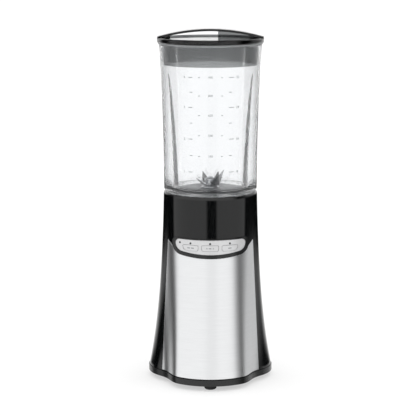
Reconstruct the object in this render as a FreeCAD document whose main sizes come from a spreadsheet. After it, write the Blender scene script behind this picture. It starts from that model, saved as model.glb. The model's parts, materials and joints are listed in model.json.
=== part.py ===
"""Countertop blender with a clear jug that twists and lifts off a tall motor base.

Frame: millimetres, +Z up, the control panel faces -Y, the origin is on the table under the jug's
axis. The rest pose has the jug dropped into its seat, before the 40 degree turn that locks it.
"""

import FreeCAD, Part
import math
import os

doc = FreeCAD.newDocument("blender")
sheet = doc.addObject("Spreadsheet::Sheet", "dims")
nodes = {}


# ---------------------------------------------------------------------------- sizes and binding
class Size:
    """A number together with the spreadsheet expression that gives it."""

    def __init__(self, value, text):
        self.value = float(value)
        self.text = text

    def __add__(self, other):
        other = size(other)
        return Size(self.value + other.value, f"({self.text} + {other.text})")

    def __sub__(self, other):
        other = size(other)
        return Size(self.value - other.value, f"({self.text} - {other.text})")

    def __mul__(self, other):
        other = size(other)
        return Size(self.value * other.value, f"({self.text} * {other.text})")

    def __truediv__(self, other):
        other = size(other)
        return Size(self.value / other.value, f"({self.text} / {other.text})")

    def __neg__(self):
        return Size(-self.value, f"(0 - {self.text})")

    def __radd__(self, other):
        return size(other) + self

    def __rsub__(self, other):
        return size(other) - self

    def __rmul__(self, other):
        return size(other) * self


def size(value):
    """Any number as a Size."""
    return value if isinstance(value, Size) else Size(value, f"({value!r})")


row = [0]


def cell(alias, value):
    """Writes one driving dimension into the spreadsheet and returns it."""
    row[0] += 1
    sheet.set(f"A{row[0]}", alias)
    sheet.set(f"B{row[0]}", str(value))
    sheet.setAlias(f"B{row[0]}", alias)
    return Size(value, f"dims.{alias}")


def bind(thing, **sizes):
    """Sets properties of a document object and ties each one to the spreadsheet."""
    for name, value in sizes.items():
        value = size(value)
        setattr(thing, name, value.value)
        thing.setExpression(name, value.text)
    return thing


def place(thing, x=0, y=0, z=0, turn=0, axis=(0, 0, 1)):
    """Moves an object to x, y, z, with an optional turn in degrees about an axis."""
    x, y, z = size(x), size(y), size(z)
    spot = FreeCAD.Vector(x.value, y.value, z.value)
    thing.Placement = FreeCAD.Placement(spot, FreeCAD.Rotation(FreeCAD.Vector(*axis), turn))
    for letter, value in (("x", x), ("y", y), ("z", z)):
        thing.setExpression(f"Placement.Base.{letter}", value.text)
    return thing


def polar(radius, degrees):
    """x and y of a point at a radius and an angle from +X."""
    angle = math.radians(degrees)
    return size(radius) * round(math.cos(angle), 12), size(radius) * round(math.sin(angle), 12)


# ---------------------------------------------------------------------------- makers
def keep(label, thing):
    """Names the finished sub-part and lists it for export."""
    thing.Label = label
    nodes[label] = thing
    return thing


def name_of(label):
    return "".join(word.capitalize() for word in label.split("_"))


def plane_of(body, role):
    return next(f for f in body.Origin.OriginFeatures if f.Role == role)


def sketch_on(body, label, role, points, arcs=None):
    """A closed outline of straight edges through points; arcs gives {edge number: radius}, where
    a positive radius bows the edge to the right of its direction of travel."""
    sketch = body.newObject("Sketcher::SketchObject", label)
    sketch.AttachmentSupport = [(plane_of(body, role), "")]
    sketch.MapMode = "FlatFace"
    spots = [(size(x), size(y)) for x, y in points]
    flat = [FreeCAD.Vector(x.value, y.value, 0) for x, y in spots]
    arcs = arcs or {}
    count = len(flat)
    shapes = []
    for i in range(count):
        a, b = flat[i], flat[(i + 1) % count]
        if i not in arcs:
            shapes.append(Part.LineSegment(a, b))
            continue
        bow = size(arcs[i]).value
        half = (b - a).Length / 2
        across = FreeCAD.Vector(b.y - a.y, a.x - b.x, 0).normalize() * math.copysign(1, bow)
        rise = abs(bow) - math.sqrt(bow * bow - half * half)
        first, last = (a, b) if bow > 0 else (b, a)
        shapes.append(Part.Arc(first, (a + b) / 2 + across * rise, last))
    sketch.addGeometry(shapes, False)
    links = []
    for i in range(count):
        end_of_i = arc_end(sketch.Geometry[i], flat[(i + 1) % count])
        start_of_next = arc_end(sketch.Geometry[(i + 1) % count], flat[(i + 1) % count])
        links.append(Sketcher.Constraint("Coincident", i, end_of_i, (i + 1) % count, start_of_next))
    sketch.addConstraint(links)
    for i, (x, y) in enumerate(spots):
        spot = arc_end(sketch.Geometry[i], flat[i])
        for kind, value in (("DistanceX", x), ("DistanceY", y)):
            where = sketch.addConstraint(Sketcher.Constraint(kind, i, spot, value.value))
            sketch.setExpression(f"Constraints[{where}]", value.text)
    for i, bow in arcs.items():
        bow = size(bow)
        where = sketch.addConstraint(Sketcher.Constraint("Radius", i, abs(bow.value)))
        sketch.setExpression(f"Constraints[{where}]", bow.text if bow.value > 0 else (-bow).text)
    return sketch


def arc_end(curve, spot):
    """1 if the curve starts at the spot, 2 if it ends there."""
    return 1 if (curve.StartPoint - spot).Length < 1e-6 else 2


def revolved(label, points, arcs=None):
    """A body turned about the Z axis from an outline of (radius, height) points."""
    body = doc.addObject("PartDesign::Body", name_of(label))
    sketch = sketch_on(body, name_of(label) + "Outline", "XZ_Plane", points, arcs)
    turned = body.newObject("PartDesign::Revolution", name_of(label) + "Turned")
    turned.Profile = sketch
    turned.ReferenceAxis = (sketch, ["V_Axis"])
    turned.Angle = 360.0
    body.Tip = turned
    return body


def ring(label, inner, outer, low, high):
    """A plain round ring, or a disc if the inner radius is 0."""
    return revolved(label, [(inner, low), (outer, low), (outer, high), (inner, high)])


def box(name, x, y, z, dx, dy, dz):
    """A box from its middle in X and Y and its low Z."""
    made = doc.addObject("Part::Box", name)
    bind(made, Length=dx, Width=dy, Height=dz)
    return place(made, size(x) - size(dx) / 2, size(y) - size(dy) / 2, z)


def rod(name, x, y, low, high, radius):
    """An upright cylinder."""
    made = doc.addObject("Part::Cylinder", name)
    bind(made, Radius=radius, Height=size(high) - size(low))
    return place(made, x, y, low)


def sector(name, inner, outer, low, high, middle, width):
    """A piece of a ring between two angles, in degrees from +X."""
    big = doc.addObject("Part::Cylinder", name + "Outer")
    bind(big, Radius=outer, Height=size(high) - size(low))
    big.Angle = width
    place(big, 0, 0, low, middle - width / 2)
    core = rod(name + "Core", 0, 0, size(low) - 1, size(high) + 1, inner)
    return cut(name, big, core)


def cut(name, base, *tools):
    """base less the tools."""
    made = doc.addObject("Part::Cut", name)
    made.Base = base
    made.Tool = tools[0] if len(tools) == 1 else fuse(name + "Tools", *tools)
    return made


def fuse(name, *pieces):
    """One solid, or one group of separate solids, from several."""
    made = doc.addObject("Part::MultiFuse", name)
    made.Shapes = list(pieces)
    return made


def common(name, base, tool):
    made = doc.addObject("Part::Common", name)
    made.Base = base
    made.Tool = tool
    return made


def feature(name, shape):
    """A piece whose shape is worked out directly from the spreadsheet's sizes."""
    made = doc.addObject("Part::Feature", name)
    made.Shape = shape
    return made


import Sketcher  # noqa: E402  it needs FreeCAD and Part first

# ---------------------------------------------------------------------------- driving dimensions
total_height = cell("total_height", 380.0)
base_top = cell("base_top", 207.0)
plate_bottom = cell("plate_bottom", 5.5)
skirt_bottom = cell("skirt_bottom", 12.0)
top_radius = cell("top_radius", 50.0)
front_flare = cell("front_flare", 6.5)
lobe_flare = cell("lobe_flare", 14.2)
waist_depth = cell("waist_depth", 4.7)
housing_wall = cell("housing_wall", 2.4)
steel_gauge = cell("steel_gauge", 0.8)
lip_proud = cell("lip_proud", 0.8)
foot_radius = cell("foot_radius", 6.5)
foot_circle = cell("foot_circle", 45.0)
play = cell("play", 0.3)

seat_margin = cell("seat_margin", 5.6)
seat_radius = top_radius - seat_margin
seat_wall = cell("seat_wall", 2.0)
seat_deep = cell("seat_deep", 20.0)
seat_floor = base_top - seat_deep
hook_reach = cell("hook_reach", 2.4)
hook_drop = cell("hook_drop", 6.5)
hook_low = base_top - hook_drop
hook_tall = cell("hook_tall", 3.0)
lug_tall = cell("lug_tall", 3.4)

panel_half = cell("panel_half", 36.9)
panel_low = cell("panel_low", 146.3)
panel_tall = cell("panel_tall", 15.5)
panel_thick = cell("panel_thick", 1.6)
bezel_margin = cell("bezel_margin", 4.2)
bezel_proud = cell("bezel_proud", 1.4)
button_travel = cell("button_travel", 0.6)
button_gap = cell("button_gap", 0.25)
lamp_radius = cell("lamp_radius", 1.1)

cup_lift = cell("cup_lift", 2.0)
cup_bottom = base_top + cup_lift
cup_flare_low = cup_bottom + 6.0
cup_radius = top_radius - 0.4
cup_flare = cell("cup_flare", 5.1)
cup_mouth = cup_radius + cup_flare
lid_rise = cell("lid_rise", 16.0)
cup_top = total_height - lid_rise
cup_wall = cell("cup_wall", 2.8)
cup_floor = cell("cup_floor", 3.0)
collar_room = cell("collar_room", 3.8)
collar_radius = seat_radius - collar_room
neck_inner = collar_radius - 4.6
neck_wall = cell("neck_wall", 2.8)
neck_lift = cell("neck_lift", 9.4)
neck_end = seat_floor + neck_lift
rib_radius = cell("rib_radius", 16.0)
rib_depth = cell("rib_depth", 5.0)
rib_stop = cell("rib_stop", 28.0)
rib_top = cup_top - rib_stop

collar_low = seat_floor + 4.0
collar_plate = cell("collar_plate", 2.4)
collar_top = cup_bottom + 1.0
seal_tall = cell("seal_tall", 2.6)

spindle_radius = cell("spindle_radius", 4.0)
running = cell("running", 0.05)
sleeve_radius = cell("sleeve_radius", 8.0)
sleeve_wall = cell("sleeve_wall", 1.4)
blade_gauge = cell("blade_gauge", 1.2)
dog_radius = cell("dog_radius", 13.0)
dog_tall = cell("dog_tall", 8.0)

lid_rim = cup_mouth + 2.1
lid_wall = cell("lid_wall", 2.0)
lid_skirt = cell("lid_skirt", 21.6)
arch_radius = cell("arch_radius", 198.0)
arch_gauge = cell("arch_gauge", 2.4)
arch_width = cell("arch_width", 22.0)

motor_low = cell("motor_low", 50.0)
stack_low = cell("stack_low", 90.0)
stack_tall = cell("stack_tall", 32.0)
armature_radius = cell("armature_radius", 19.6)
air_gap = cell("air_gap", 0.5)
stator_width = cell("stator_width", 72.0)
commutator_radius = cell("commutator_radius", 10.5)
fan_radius = cell("fan_radius", 28.0)


# ---------------------------------------------------------------------------- motor base shell
def bump(angle, middle, half_width):
    """A smooth hump, 1 at its middle and 0 past its half width, in degrees."""
    away = abs(angle - middle) / half_width
    return math.cos(math.pi / 2 * away) ** 2 if away < 1 else 0.0


def base_radius(around, height, inset=0.0):
    """The base's radius at an angle from the front and a height. It is round at the top. Further
    down the front swells a little, two lobes grow at the rear corners, and a shallow waist is
    left between each lobe and the front."""
    drop = (base_top.value - height) / (base_top.value - skirt_bottom.value)
    drop = max(0.0, min(1.05, drop))
    away = abs((around + 180) % 360 - 180)
    lobe = lobe_flare.value * (0.6 * drop + 0.4 * drop**4) * bump(away, 115, 48)
    waist = waist_depth.value * drop**2 * bump(away, 62, 26)
    return top_radius.value + front_flare.value * drop**2 + lobe - waist - inset


def base_section(height, inset=0.0, plan_height=None):
    """The closed curve of the base's outline at a height."""
    step = 10
    plan = height if plan_height is None else plan_height
    points = []
    for around in range(0, 360, step):
        reach = base_radius(around, plan, inset)
        angle = math.radians(around - 90)
        points.append(FreeCAD.Vector(reach * math.cos(angle), reach * math.sin(angle), height))
    curve = Part.BSplineCurve()
    curve.interpolate(Points=points, PeriodicFlag=True)
    return Part.Wire([curve.toShape()])


def base_loft(low, high, inset=0.0):
    """The base's form between two heights, as a solid."""
    levels = [low + (high - low) * share for share in (0, 0.08, 0.17, 0.28, 0.42, 0.58, 0.78, 1)]
    return Part.makeLoft([base_section(z, inset) for z in levels], True, False)


def base_slab(low, high, inset=0.0, plan_height=None):
    """A slab of the base's outline with upright sides."""
    face = Part.Face(base_section(low, inset, plan_height))
    return face.extrude(FreeCAD.Vector(0, 0, high - low))


skin_low = skirt_bottom.value
skin_high = base_top.value
steel_inset = steel_gauge.value + 0.1
steel_side_top = 45.4
steel_side_bottom = 52.6
steel_corner = 158.6
bezel_low = panel_low - bezel_margin
bezel_half = panel_half + bezel_margin * 0.85
bezel_top = panel_low + panel_tall + 1.4
smile_bow = 165.0
panel_side_round = 8.0
panel_top_round = 4.4
bezel_side_round = 11.0
bezel_top_round = 5.0


def bezel_edge(x):
    """The height of the bezel's low edge, seen from the front, x to the side of its middle."""
    bottom = smile_bow + bezel_margin.value
    side_x = bezel_half.value - bezel_side_round
    if x < side_x:
        return bezel_low.value + bottom - math.sqrt(bottom**2 - x**2)
    side_z = bezel_low.value + bottom - math.sqrt((bottom - bezel_side_round) ** 2 - side_x**2)
    return side_z - math.sqrt(bezel_side_round**2 - (x - side_x) ** 2)


def front_prism(points, near=-90.0, far=-5.0):
    """A prism along Y from a front-view outline of (x, z) points, with none behind far."""
    wire = Part.makePolygon([FreeCAD.Vector(x, near, z) for x, z in points + points[:1]])
    return Part.Face(wire).extrude(FreeCAD.Vector(0, far - near, 0))


def steel_outline(grow=0.0):
    """The steel panel seen from the front: straight sides, and a top that dips under the bezel."""
    low = skin_low + 0.3 - grow
    under = 1.8
    half = [
        (steel_side_bottom + grow, low),
        (steel_side_top + grow, steel_corner + grow),
        (bezel_half.value - 1.4, steel_corner - 6.3 + grow),
    ]
    half += [(x, bezel_edge(x) + under + grow) for x in (37.0, 33.0, 27.0, 19.0, 10.0)]
    return half + [(-x, z) for x, z in reversed(half)]


outer_skin = base_loft(skin_low, skin_high)
inner_core = base_loft(skin_low - 0.01, skin_high - housing_wall.value, housing_wall.value)
steel_core = base_loft(skin_low - 0.01, skin_high, steel_inset)
steel_back = base_loft(skin_low - 0.01, skin_high, steel_gauge.value)

# The housing is one black shell with a rebate in front for the steel panel.
well = Part.makeCylinder(seat_radius.value, 40, FreeCAD.Vector(0, 0, skin_high - 30))
rebate = outer_skin.cut(steel_core).common(front_prism(steel_outline(0.25)))
housing_shape = outer_skin.cut(inner_core).cut(rebate).cut(well)
window = front_prism(
    [
        (-panel_half.value + 3, panel_low.value + 2.2),
        (panel_half.value - 3, panel_low.value + 2.2),
        (panel_half.value - 3, panel_low.value + panel_tall.value - 2.2),
        (-panel_half.value + 3, panel_low.value + panel_tall.value - 2.2),
    ]
)
gland_height = cell("gland_height", 30.0)
gland_radius = cell("gland_radius", 6.0)
cord_hole = cell("cord_hole", 3.6)
rear_reach = base_radius(180, gland_height.value)
gland_hole = Part.makeCylinder(
    gland_radius.value + 0.05,
    30,
    FreeCAD.Vector(0, rear_reach - 20, gland_height.value),
    FreeCAD.Vector(0, 1, 0),
)
housing_shape = housing_shape.cut(window).cut(gland_hole)
keep("main_housing", feature("MainHousing", housing_shape))

steel_shape = outer_skin.cut(steel_back).common(front_prism(steel_outline()))
keep("steel_panel", feature("SteelPanel", steel_shape))


# ---------------------------------------------------------------------------- bottom plate and feet
vent_count = 7
vent_pitch = 7.0
lip = base_slab(plate_bottom.value, skin_low - 0.05, -lip_proud.value, skin_low)
tray = base_slab(plate_bottom.value + 2.4, skin_low + 1, 3.0, skin_low)
upstand_out = base_slab(skin_low - 1.0, skin_low + 6.0, housing_wall.value + 0.4, skin_low + 6.0)
upstand_in = base_slab(skin_low - 1.1, skin_low + 6.1, housing_wall.value + 2.4, skin_low + 6.0)
plate_shape = lip.cut(tray).fuse(upstand_out.cut(upstand_in))
foot_spots = [(-90, foot_circle), (25, foot_circle + 10), (155, foot_circle + 10)]
boss_spots = [(-50, 40), (-130, 40), (60, 42), (120, 42)]
for number in range(vent_count):
    x = (number - (vent_count - 1) / 2) * vent_pitch
    slot = Part.makeBox(3.0, 34.0, 10, FreeCAD.Vector(x - 1.5, -17.0, plate_bottom.value - 2))
    plate_shape = plate_shape.cut(slot)
for angle, reach in boss_spots:
    x, y = polar(reach, angle)
    spot = FreeCAD.Vector(x.value, y.value, plate_bottom.value)
    plate_shape = plate_shape.fuse(Part.makeCylinder(4.5, 10, spot))
    plate_shape = plate_shape.cut(Part.makeCylinder(1.9, 30, spot - FreeCAD.Vector(0, 0, 5)))
    plate_shape = plate_shape.cut(Part.makeCylinder(3.6, 3.5, spot))
for angle, reach in foot_spots:
    x, y = polar(reach, angle)
    spot = FreeCAD.Vector(x.value, y.value, plate_bottom.value - 1)
    plate_shape = plate_shape.cut(Part.makeCylinder(2.6, 10, spot))
keep("base_plate", feature("BasePlate", plate_shape.removeSplitter()))

foot_names = ("foot_front", "foot_rear_right", "foot_rear_left")
for label, (angle, reach) in zip(foot_names, foot_spots):
    foot = revolved(
        label,
        [
            (0, 0),
            (foot_radius - 1.2, 0),
            (foot_radius, 1.2),
            (foot_radius, plate_bottom),
            (2.5, plate_bottom),
            (2.5, plate_bottom + 2.6),
            (3.4, plate_bottom + 2.8),
            (2.2, plate_bottom + 4.6),
            (0, plate_bottom + 4.6),
        ],
    )
    keep(label, place(foot, *polar(reach, angle)))

screws = []
for number, (angle, reach) in enumerate(boss_spots):
    x, y = polar(reach, angle)
    head = rod(f"PlateScrewHead{number}", x, y, plate_bottom + 1.3, plate_bottom + 3.5, 3.2)
    shank = rod(f"PlateScrewShank{number}", x, y, plate_bottom + 3.5, plate_bottom + 17, 1.5)
    drive = box(f"PlateScrewSlot{number}", x, y, plate_bottom + 1.0, 4.4, 0.9, 1.2)
    screws.append(cut(f"PlateScrew{number}", fuse(f"PlateScrewBody{number}", head, shank), drive))
keep("plate_screws", fuse("PlateScrews", *screws))

posts = []
for number, (angle, reach) in enumerate(boss_spots):
    x, y = polar(reach, angle)
    outer = rod(f"Post{number}", x, y, plate_bottom + 10.2, motor_low - 4, 4.2)
    posts.append(cut(f"PostBored{number}", outer, rod(f"PostBore{number}", x, y, 0, plate_bottom + 18, 1.5)))
frame_top = motor_low.value - 1.6
plate_blank = base_slab(frame_top - 3.0, frame_top, housing_wall.value + 0.05, frame_top)
plate_blank = plate_blank.cut(Part.makeCylinder(24, 10, FreeCAD.Vector(0, 0, frame_top - 5)))
for side in (-1, 1):
    nut_room = Part.makeCylinder(3.9, 10, FreeCAD.Vector(0, side * 29.0, frame_top - 5))
    plate_blank = plate_blank.cut(nut_room)
frame_plate = feature("FramePlate", plate_blank)
keep("screw_post_frame", fuse("ScrewPostFrame", frame_plate, *posts))

gland_long = 13.6
gland_proud = 2.05
gland = doc.addObject("Part::Feature", "CordGland")
bush = Part.makeCylinder(gland_radius.value, 12, FreeCAD.Vector(0, 0, 0))
flange = Part.makeCylinder(gland_radius.value + 2.2, 1.6, FreeCAD.Vector(0, 0, 12))
catch = Part.makeCylinder(gland_radius.value + 1.2, 2.0, FreeCAD.Vector(0, 0, 5.0))
bush = bush.fuse(flange).fuse(catch).cut(Part.makeCylinder(cord_hole.value, 20, FreeCAD.Vector(0, 0, -2)))
gland.Shape = bush.removeSplitter()
gland.Placement = FreeCAD.Placement(
    FreeCAD.Vector(0, rear_reach + gland_proud - gland_long, gland_height.value),
    FreeCAD.Rotation(FreeCAD.Vector(1, 0, 0), -90),
)
keep("cord_gland", gland)


# ---------------------------------------------------------------------------- jug seat
seat_top = base_top - housing_wall
seat_body = revolved(
    "jug_seat_shell",
    [
        (18.0, seat_floor - 2.5),
        (seat_radius + seat_wall, seat_floor - 2.5),
        (seat_radius + seat_wall, seat_top),
        (seat_radius, seat_top),
        (seat_radius, seat_floor),
        (20.5, seat_floor),
        (20.5, seat_floor + 2.0),
        (18.0, seat_floor + 2.0),
    ],
)
lug_count = 3
hook_width = 50
lug_width = 40
hooks = [
    sector(
        f"Hook{number}",
        seat_radius - hook_reach,
        seat_radius + 1,
        hook_low,
        hook_low + hook_tall,
        middle,
        hook_width,
    )
    for number, middle in enumerate((90, 210, 330))
]
lug_low = hook_low - 0.6 - lug_tall
lug_rise = cell("lug_rise", 1.6)
lug_slope = math.degrees(math.atan(lug_rise.value / (math.radians(lug_width) * seat_radius.value)))
plunger_angle = 58
plunger_circle = seat_radius - 1.9
plunger_x, plunger_y = polar(plunger_circle, plunger_angle)
plunger_radius = cell("plunger_radius", 1.6)
seat_floor_hole = rod(
    "PlungerHole", plunger_x, plunger_y, seat_floor - 5, seat_floor + 3, plunger_radius + 0.1
)
plunger_low = seat_floor - 20
hangers = [
    rod(f"SwitchHanger{number}", plunger_x + side * 4.3, plunger_y, plunger_low - 0.4, seat_floor - 2.0, 1.2)
    for number, side in enumerate((-1, 1))
]
keep("jug_seat", cut("JugSeat", fuse("JugSeatWhole", seat_body, *hooks, *hangers), seat_floor_hole))


# ---------------------------------------------------------------------------- control panel
def curved_plate(name, half, low, high, r_low, r_high, inner, outer, middle=0.0, split=None):
    """A plate on an upright cylinder, with a rounded outline as seen from the front."""
    corners = [
        (middle - half, low, r_low),
        (middle + half, low, r_low if split is None else split),
        (middle + half, high, r_high),
        (middle - half, high, r_high),
    ]
    edges = []
    marks = []
    count = len(corners)
    for i in range(count):
        here = FreeCAD.Vector(corners[i][0], -90, corners[i][1])
        before = FreeCAD.Vector(corners[i - 1][0], -90, corners[i - 1][1])
        after = FreeCAD.Vector(corners[(i + 1) % count][0], -90, corners[(i + 1) % count][1])
        reach = corners[i][2]
        to_before = (before - here).normalize()
        to_after = (after - here).normalize()
        start = here + to_before * reach
        end = here + to_after * reach
        centre = here + (to_before + to_after) * reach
        top = centre + (here - centre).normalize() * reach
        marks.append((start, top, end))
    for i in range(count):
        start, top, end = marks[i]
        edges.append(Part.Arc(start, top, end).toShape())
        edges.append(Part.LineSegment(end, marks[(i + 1) % count][0]).toShape())
    prism = Part.Face(Part.Wire(edges)).extrude(FreeCAD.Vector(0, 80, 0))
    tall = high - low + 20
    at = FreeCAD.Vector(0, 0, low - 10)
    tube = Part.makeCylinder(outer, tall, at).cut(Part.makeCylinder(inner, tall, at))
    return tube.common(prism)


def smile_plate(half, low, high, side_round, top_round, inner, outer):
    """A plate on an upright cylinder whose outline smiles: its low edge is a wide arc, smaller
    arcs lead it into the upright sides, and the top corners are rounded."""
    bottom = smile_bow + (panel_low.value - low)
    centre = FreeCAD.Vector(0, -90, low + bottom)
    side_x = half - side_round
    side_z = centre.z - math.sqrt((bottom - side_round) ** 2 - side_x**2)
    lean = math.atan2(side_x, centre.z - side_z)

    def on_arc(middle_x, middle_z, radius, angle):
        return FreeCAD.Vector(
            middle_x + radius * math.sin(angle), -90, middle_z - radius * math.cos(angle)
        )

    quarter = math.pi / 2
    side = [on_arc(side_x, side_z, side_round, angle) for angle in (lean, (lean + quarter) / 2, quarter)]
    corner_x, corner_z = half - top_round, high - top_round
    corner = [on_arc(corner_x, corner_z, top_round, angle) for angle in (quarter, 1.5 * quarter, 2 * quarter)]
    flip = [[FreeCAD.Vector(-p.x, p.y, p.z) for p in reversed(arc)] for arc in (side, corner)]
    edges = [
        Part.Arc(flip[0][2], on_arc(0, centre.z, bottom, 0), side[0]).toShape(),
        Part.Arc(*side).toShape(),
        Part.LineSegment(side[2], corner[0]).toShape(),
        Part.Arc(*corner).toShape(),
        Part.LineSegment(corner[2], flip[1][0]).toShape(),
        Part.Arc(*flip[1]).toShape(),
        Part.LineSegment(flip[1][2], flip[0][0]).toShape(),
        Part.Arc(*flip[0]).toShape(),
    ]
    prism = Part.Face(Part.Wire(edges)).extrude(FreeCAD.Vector(0, 80, 0))
    tall = high - low + 20
    at = FreeCAD.Vector(0, 0, low - 10)
    tube = Part.makeCylinder(outer, tall, at).cut(Part.makeCylinder(inner, tall, at))
    return tube.common(prism)


def panel_plate(grow, inner, outer):
    """A plate with the panel's outline, larger or smaller all round."""
    return smile_plate(
        panel_half.value + grow,
        panel_low.value - grow,
        panel_top.value + grow,
        panel_side_round + grow,
        panel_top_round + grow,
        inner,
        outer,
    )


def bezel_plate(grow, inner, outer):
    """A plate with the bezel's outline, larger or smaller all round."""
    return smile_plate(
        bezel_half.value + grow,
        bezel_low.value - grow,
        bezel_top.value + grow,
        bezel_side_round + grow,
        bezel_top_round + grow,
        inner,
        outer,
    )


panel_top = panel_low + panel_tall
fascia_radius = top_radius + 1.6
fascia_back = fascia_radius - panel_thick
bezel_radius = fascia_radius + bezel_proud - 1.0
beyond = fascia_radius.value + 20
bezel_inner = fascia_back.value - 1.2
bezel_shape = bezel_plate(0.0, bezel_inner, bezel_radius.value)
bezel_shape = bezel_shape.cut(panel_plate(0.1, fascia_back.value - 0.02, beyond))
bezel_shape = bezel_shape.cut(panel_plate(-1.6, 20.0, beyond))
# The housing and the steel give way to the bezel's back, with a little play.
bezel_bed = bezel_plate(0.15, bezel_inner - 0.15, beyond)
nodes["main_housing"].Shape = housing_shape.cut(bezel_bed)
nodes["steel_panel"].Shape = steel_shape.cut(bezel_bed)
keep("control_bezel", feature("ControlBezel", bezel_shape))

# Buttons: name, middle x, half width, low, high, outer lower corner radius.
button_low = panel_low + 4.0
button_high = panel_top - 5.6
buttons = [
    ("button_high", -21.0, 7.9, 4.4, 2.2),
    ("button_pulse", -0.4, 8.9, 2.2, 2.2),
    ("button_low", 20.4, 8.2, 2.2, 4.4),
]
fascia = panel_plate(0.0, fascia_back.value, fascia_radius.value)
lamp_spots = [-32.2] + [middle for _, middle, _, _, _ in buttons]
lamp_height = button_high + 1.9
board_depth = cell("board_depth", 11.4)
board_face = top_radius - board_depth


def radial_rod(middle, height, inner, outer, radius):
    """A round bar pointing outwards from the axis, seen from the front at x = middle."""
    lean = math.asin(middle / fascia_radius.value)
    out = FreeCAD.Vector(math.sin(lean), -math.cos(lean), 0)
    return Part.makeCylinder(radius, outer - inner, out * inner + FreeCAD.Vector(0, 0, height), out)


for name, middle, half, left, right in buttons:
    gap = button_gap.value
    opening = curved_plate(
        name,
        half + gap,
        button_low.value - gap,
        button_high.value + gap,
        left,
        1.4,
        fascia_back.value - 20,
        beyond,
        middle,
        right,
    )
    fascia = fascia.cut(opening)
for middle in lamp_spots:
    lamp_hole = radial_rod(middle, lamp_height.value, fascia_back.value - 10, beyond, lamp_radius.value)
    fascia = fascia.cut(lamp_hole)
keep("control_fascia", feature("ControlFascia", fascia))

for name, middle, half, left, right in buttons:
    cap = curved_plate(
        name,
        half,
        button_low.value,
        button_high.value,
        left,
        1.2,
        fascia_back.value - 0.6,
        fascia_radius.value + 0.5,
        middle,
        right,
    )
    keep(name, feature(name_of(name), cap))

lamps = [
    radial_rod(
        middle, lamp_height.value, fascia_back.value - 2.0, fascia_radius.value + 0.3, lamp_radius.value
    )
    for middle in lamp_spots
]
keep("indicator_lamps", feature("IndicatorLamps", Part.makeCompound(lamps)))

keep(
    "control_board",
    box("ControlBoard", 0, -(board_face - 0.8), panel_low - 1.0, 52, 1.6, panel_tall),
)
switch_size = 5.0
switch_height = (button_low.value + button_high.value) / 2
switches = []
for name, middle, _, _, _ in buttons:
    lean = math.asin(middle / fascia_radius.value)
    out = FreeCAD.Vector(math.sin(lean), -math.cos(lean), 0)
    stem_end = fascia_back.value - 0.6 - button_travel.value - 0.25
    tip = out * stem_end
    body = Part.makeBox(
        switch_size,
        2.6,
        switch_size,
        FreeCAD.Vector(
            tip.x - switch_size / 2, -board_face.value - 2.6, switch_height - switch_size / 2
        ),
    )
    foot = FreeCAD.Vector(tip.x, -board_face.value - 2.0, switch_height)
    reach = -board_face.value - 2.0 - tip.y
    stem = Part.makeCylinder(1.3, reach - 0.6, foot, FreeCAD.Vector(0, -1, 0))
    switches.append(body.fuse(stem).removeSplitter())
keep("tact_switches", feature("TactSwitches", Part.makeCompound(switches)))


# ---------------------------------------------------------------------------- motor
stack_top = stack_low + stack_tall
motor_top = stack_top + 32
shaft_top = seat_floor - 4.0
keep(
    "motor_shaft",
    revolved(
        "motor_shaft",
        [
            (0, motor_low),
            (spindle_radius - 1, motor_low),
            (spindle_radius - 1, motor_low + 8),
            (spindle_radius, motor_low + 8),
            (spindle_radius, shaft_top - 0.6),
            (spindle_radius - 0.6, shaft_top),
            (0, shaft_top),
        ],
    ),
)

slot_count = 12
core = ring("armature_blank", spindle_radius, armature_radius, stack_low, stack_top)
core_slots = []
for number in range(slot_count):
    angle = 360 / slot_count * number
    x, y = polar(armature_radius - 3.6, angle)
    core_slots.append(rod(f"CoreSlot{number}", x, y, stack_low - 1, stack_top + 1, 2.4))
    x, y = polar(armature_radius, angle)
    mouth = box(f"CoreMouth{number}", 0, 0, 0, 4.0, 1.4, stack_tall + 2)
    turned = FreeCAD.Rotation(FreeCAD.Vector(0, 0, 1), angle)
    offset = turned.multVec(FreeCAD.Vector(-2.0, -0.7, 0))
    place(mouth, x + offset.x, y + offset.y, stack_low - 1, angle)
    core_slots.append(mouth)
keep("armature_core", cut("ArmatureCore", core, *core_slots))

coil_out = armature_radius - 1.6
coils = []
for label, low in (("upper", stack_top + 0.2), ("lower", stack_low - 9.2)):
    coils.append(
        revolved(
            f"armature_coil_{label}",
            [
                (spindle_radius + 2, low),
                (coil_out - 2.5, low),
                (coil_out, low + 2.5),
                (coil_out, low + 6.5),
                (coil_out - 2.5, low + 9),
                (spindle_radius + 2, low + 9),
            ],
        )
    )
keep("armature_windings", fuse("ArmatureWindings", *coils))

bar_count = 12
commutator_low = stack_low - 26
blank = ring("commutator_blank", spindle_radius, commutator_radius, commutator_low, commutator_low + 14)
gaps = []
for number in range(bar_count):
    angle = 360 / bar_count * number
    gap = box(f"CommutatorGap{number}", 0, 0, 0, 3, 0.6, 16)
    turned = FreeCAD.Rotation(FreeCAD.Vector(0, 0, 1), angle)
    offset = turned.multVec(FreeCAD.Vector(-1.5, -0.3, 0))
    x, y = polar(commutator_radius, angle)
    gaps.append(place(gap, x + offset.x, y + offset.y, commutator_low - 1, angle))
keep("commutator", cut("Commutator", blank, *gaps))

fan_low = stack_top + 12
fan_count = 9
hub = ring("fan_hub", spindle_radius, 9, fan_low, fan_low + 12)
disc = ring("fan_disc", 8, fan_radius, fan_low, fan_low + 1.6)
fan_blades = []
for number in range(fan_count):
    blade = doc.addObject("Part::Box", f"FanBlade{number}")
    bind(blade, Length=fan_radius - 9.5, Width=1.4, Height=9.5)
    place(blade, 0, 0, 0)
    angle = 360 / fan_count * number
    x, y = polar(8.6, angle)
    place(blade, x, y, fan_low + 0.8, angle + 12)
    fan_blades.append(blade)
fan_whole = fuse("FanWhole", hub, disc, *fan_blades)
fan_trim = ring("fan_trim", spindle_radius, fan_radius, fan_low, fan_low + 12)
keep("cooling_fan", common("CoolingFan", fan_whole, fan_trim))

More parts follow.
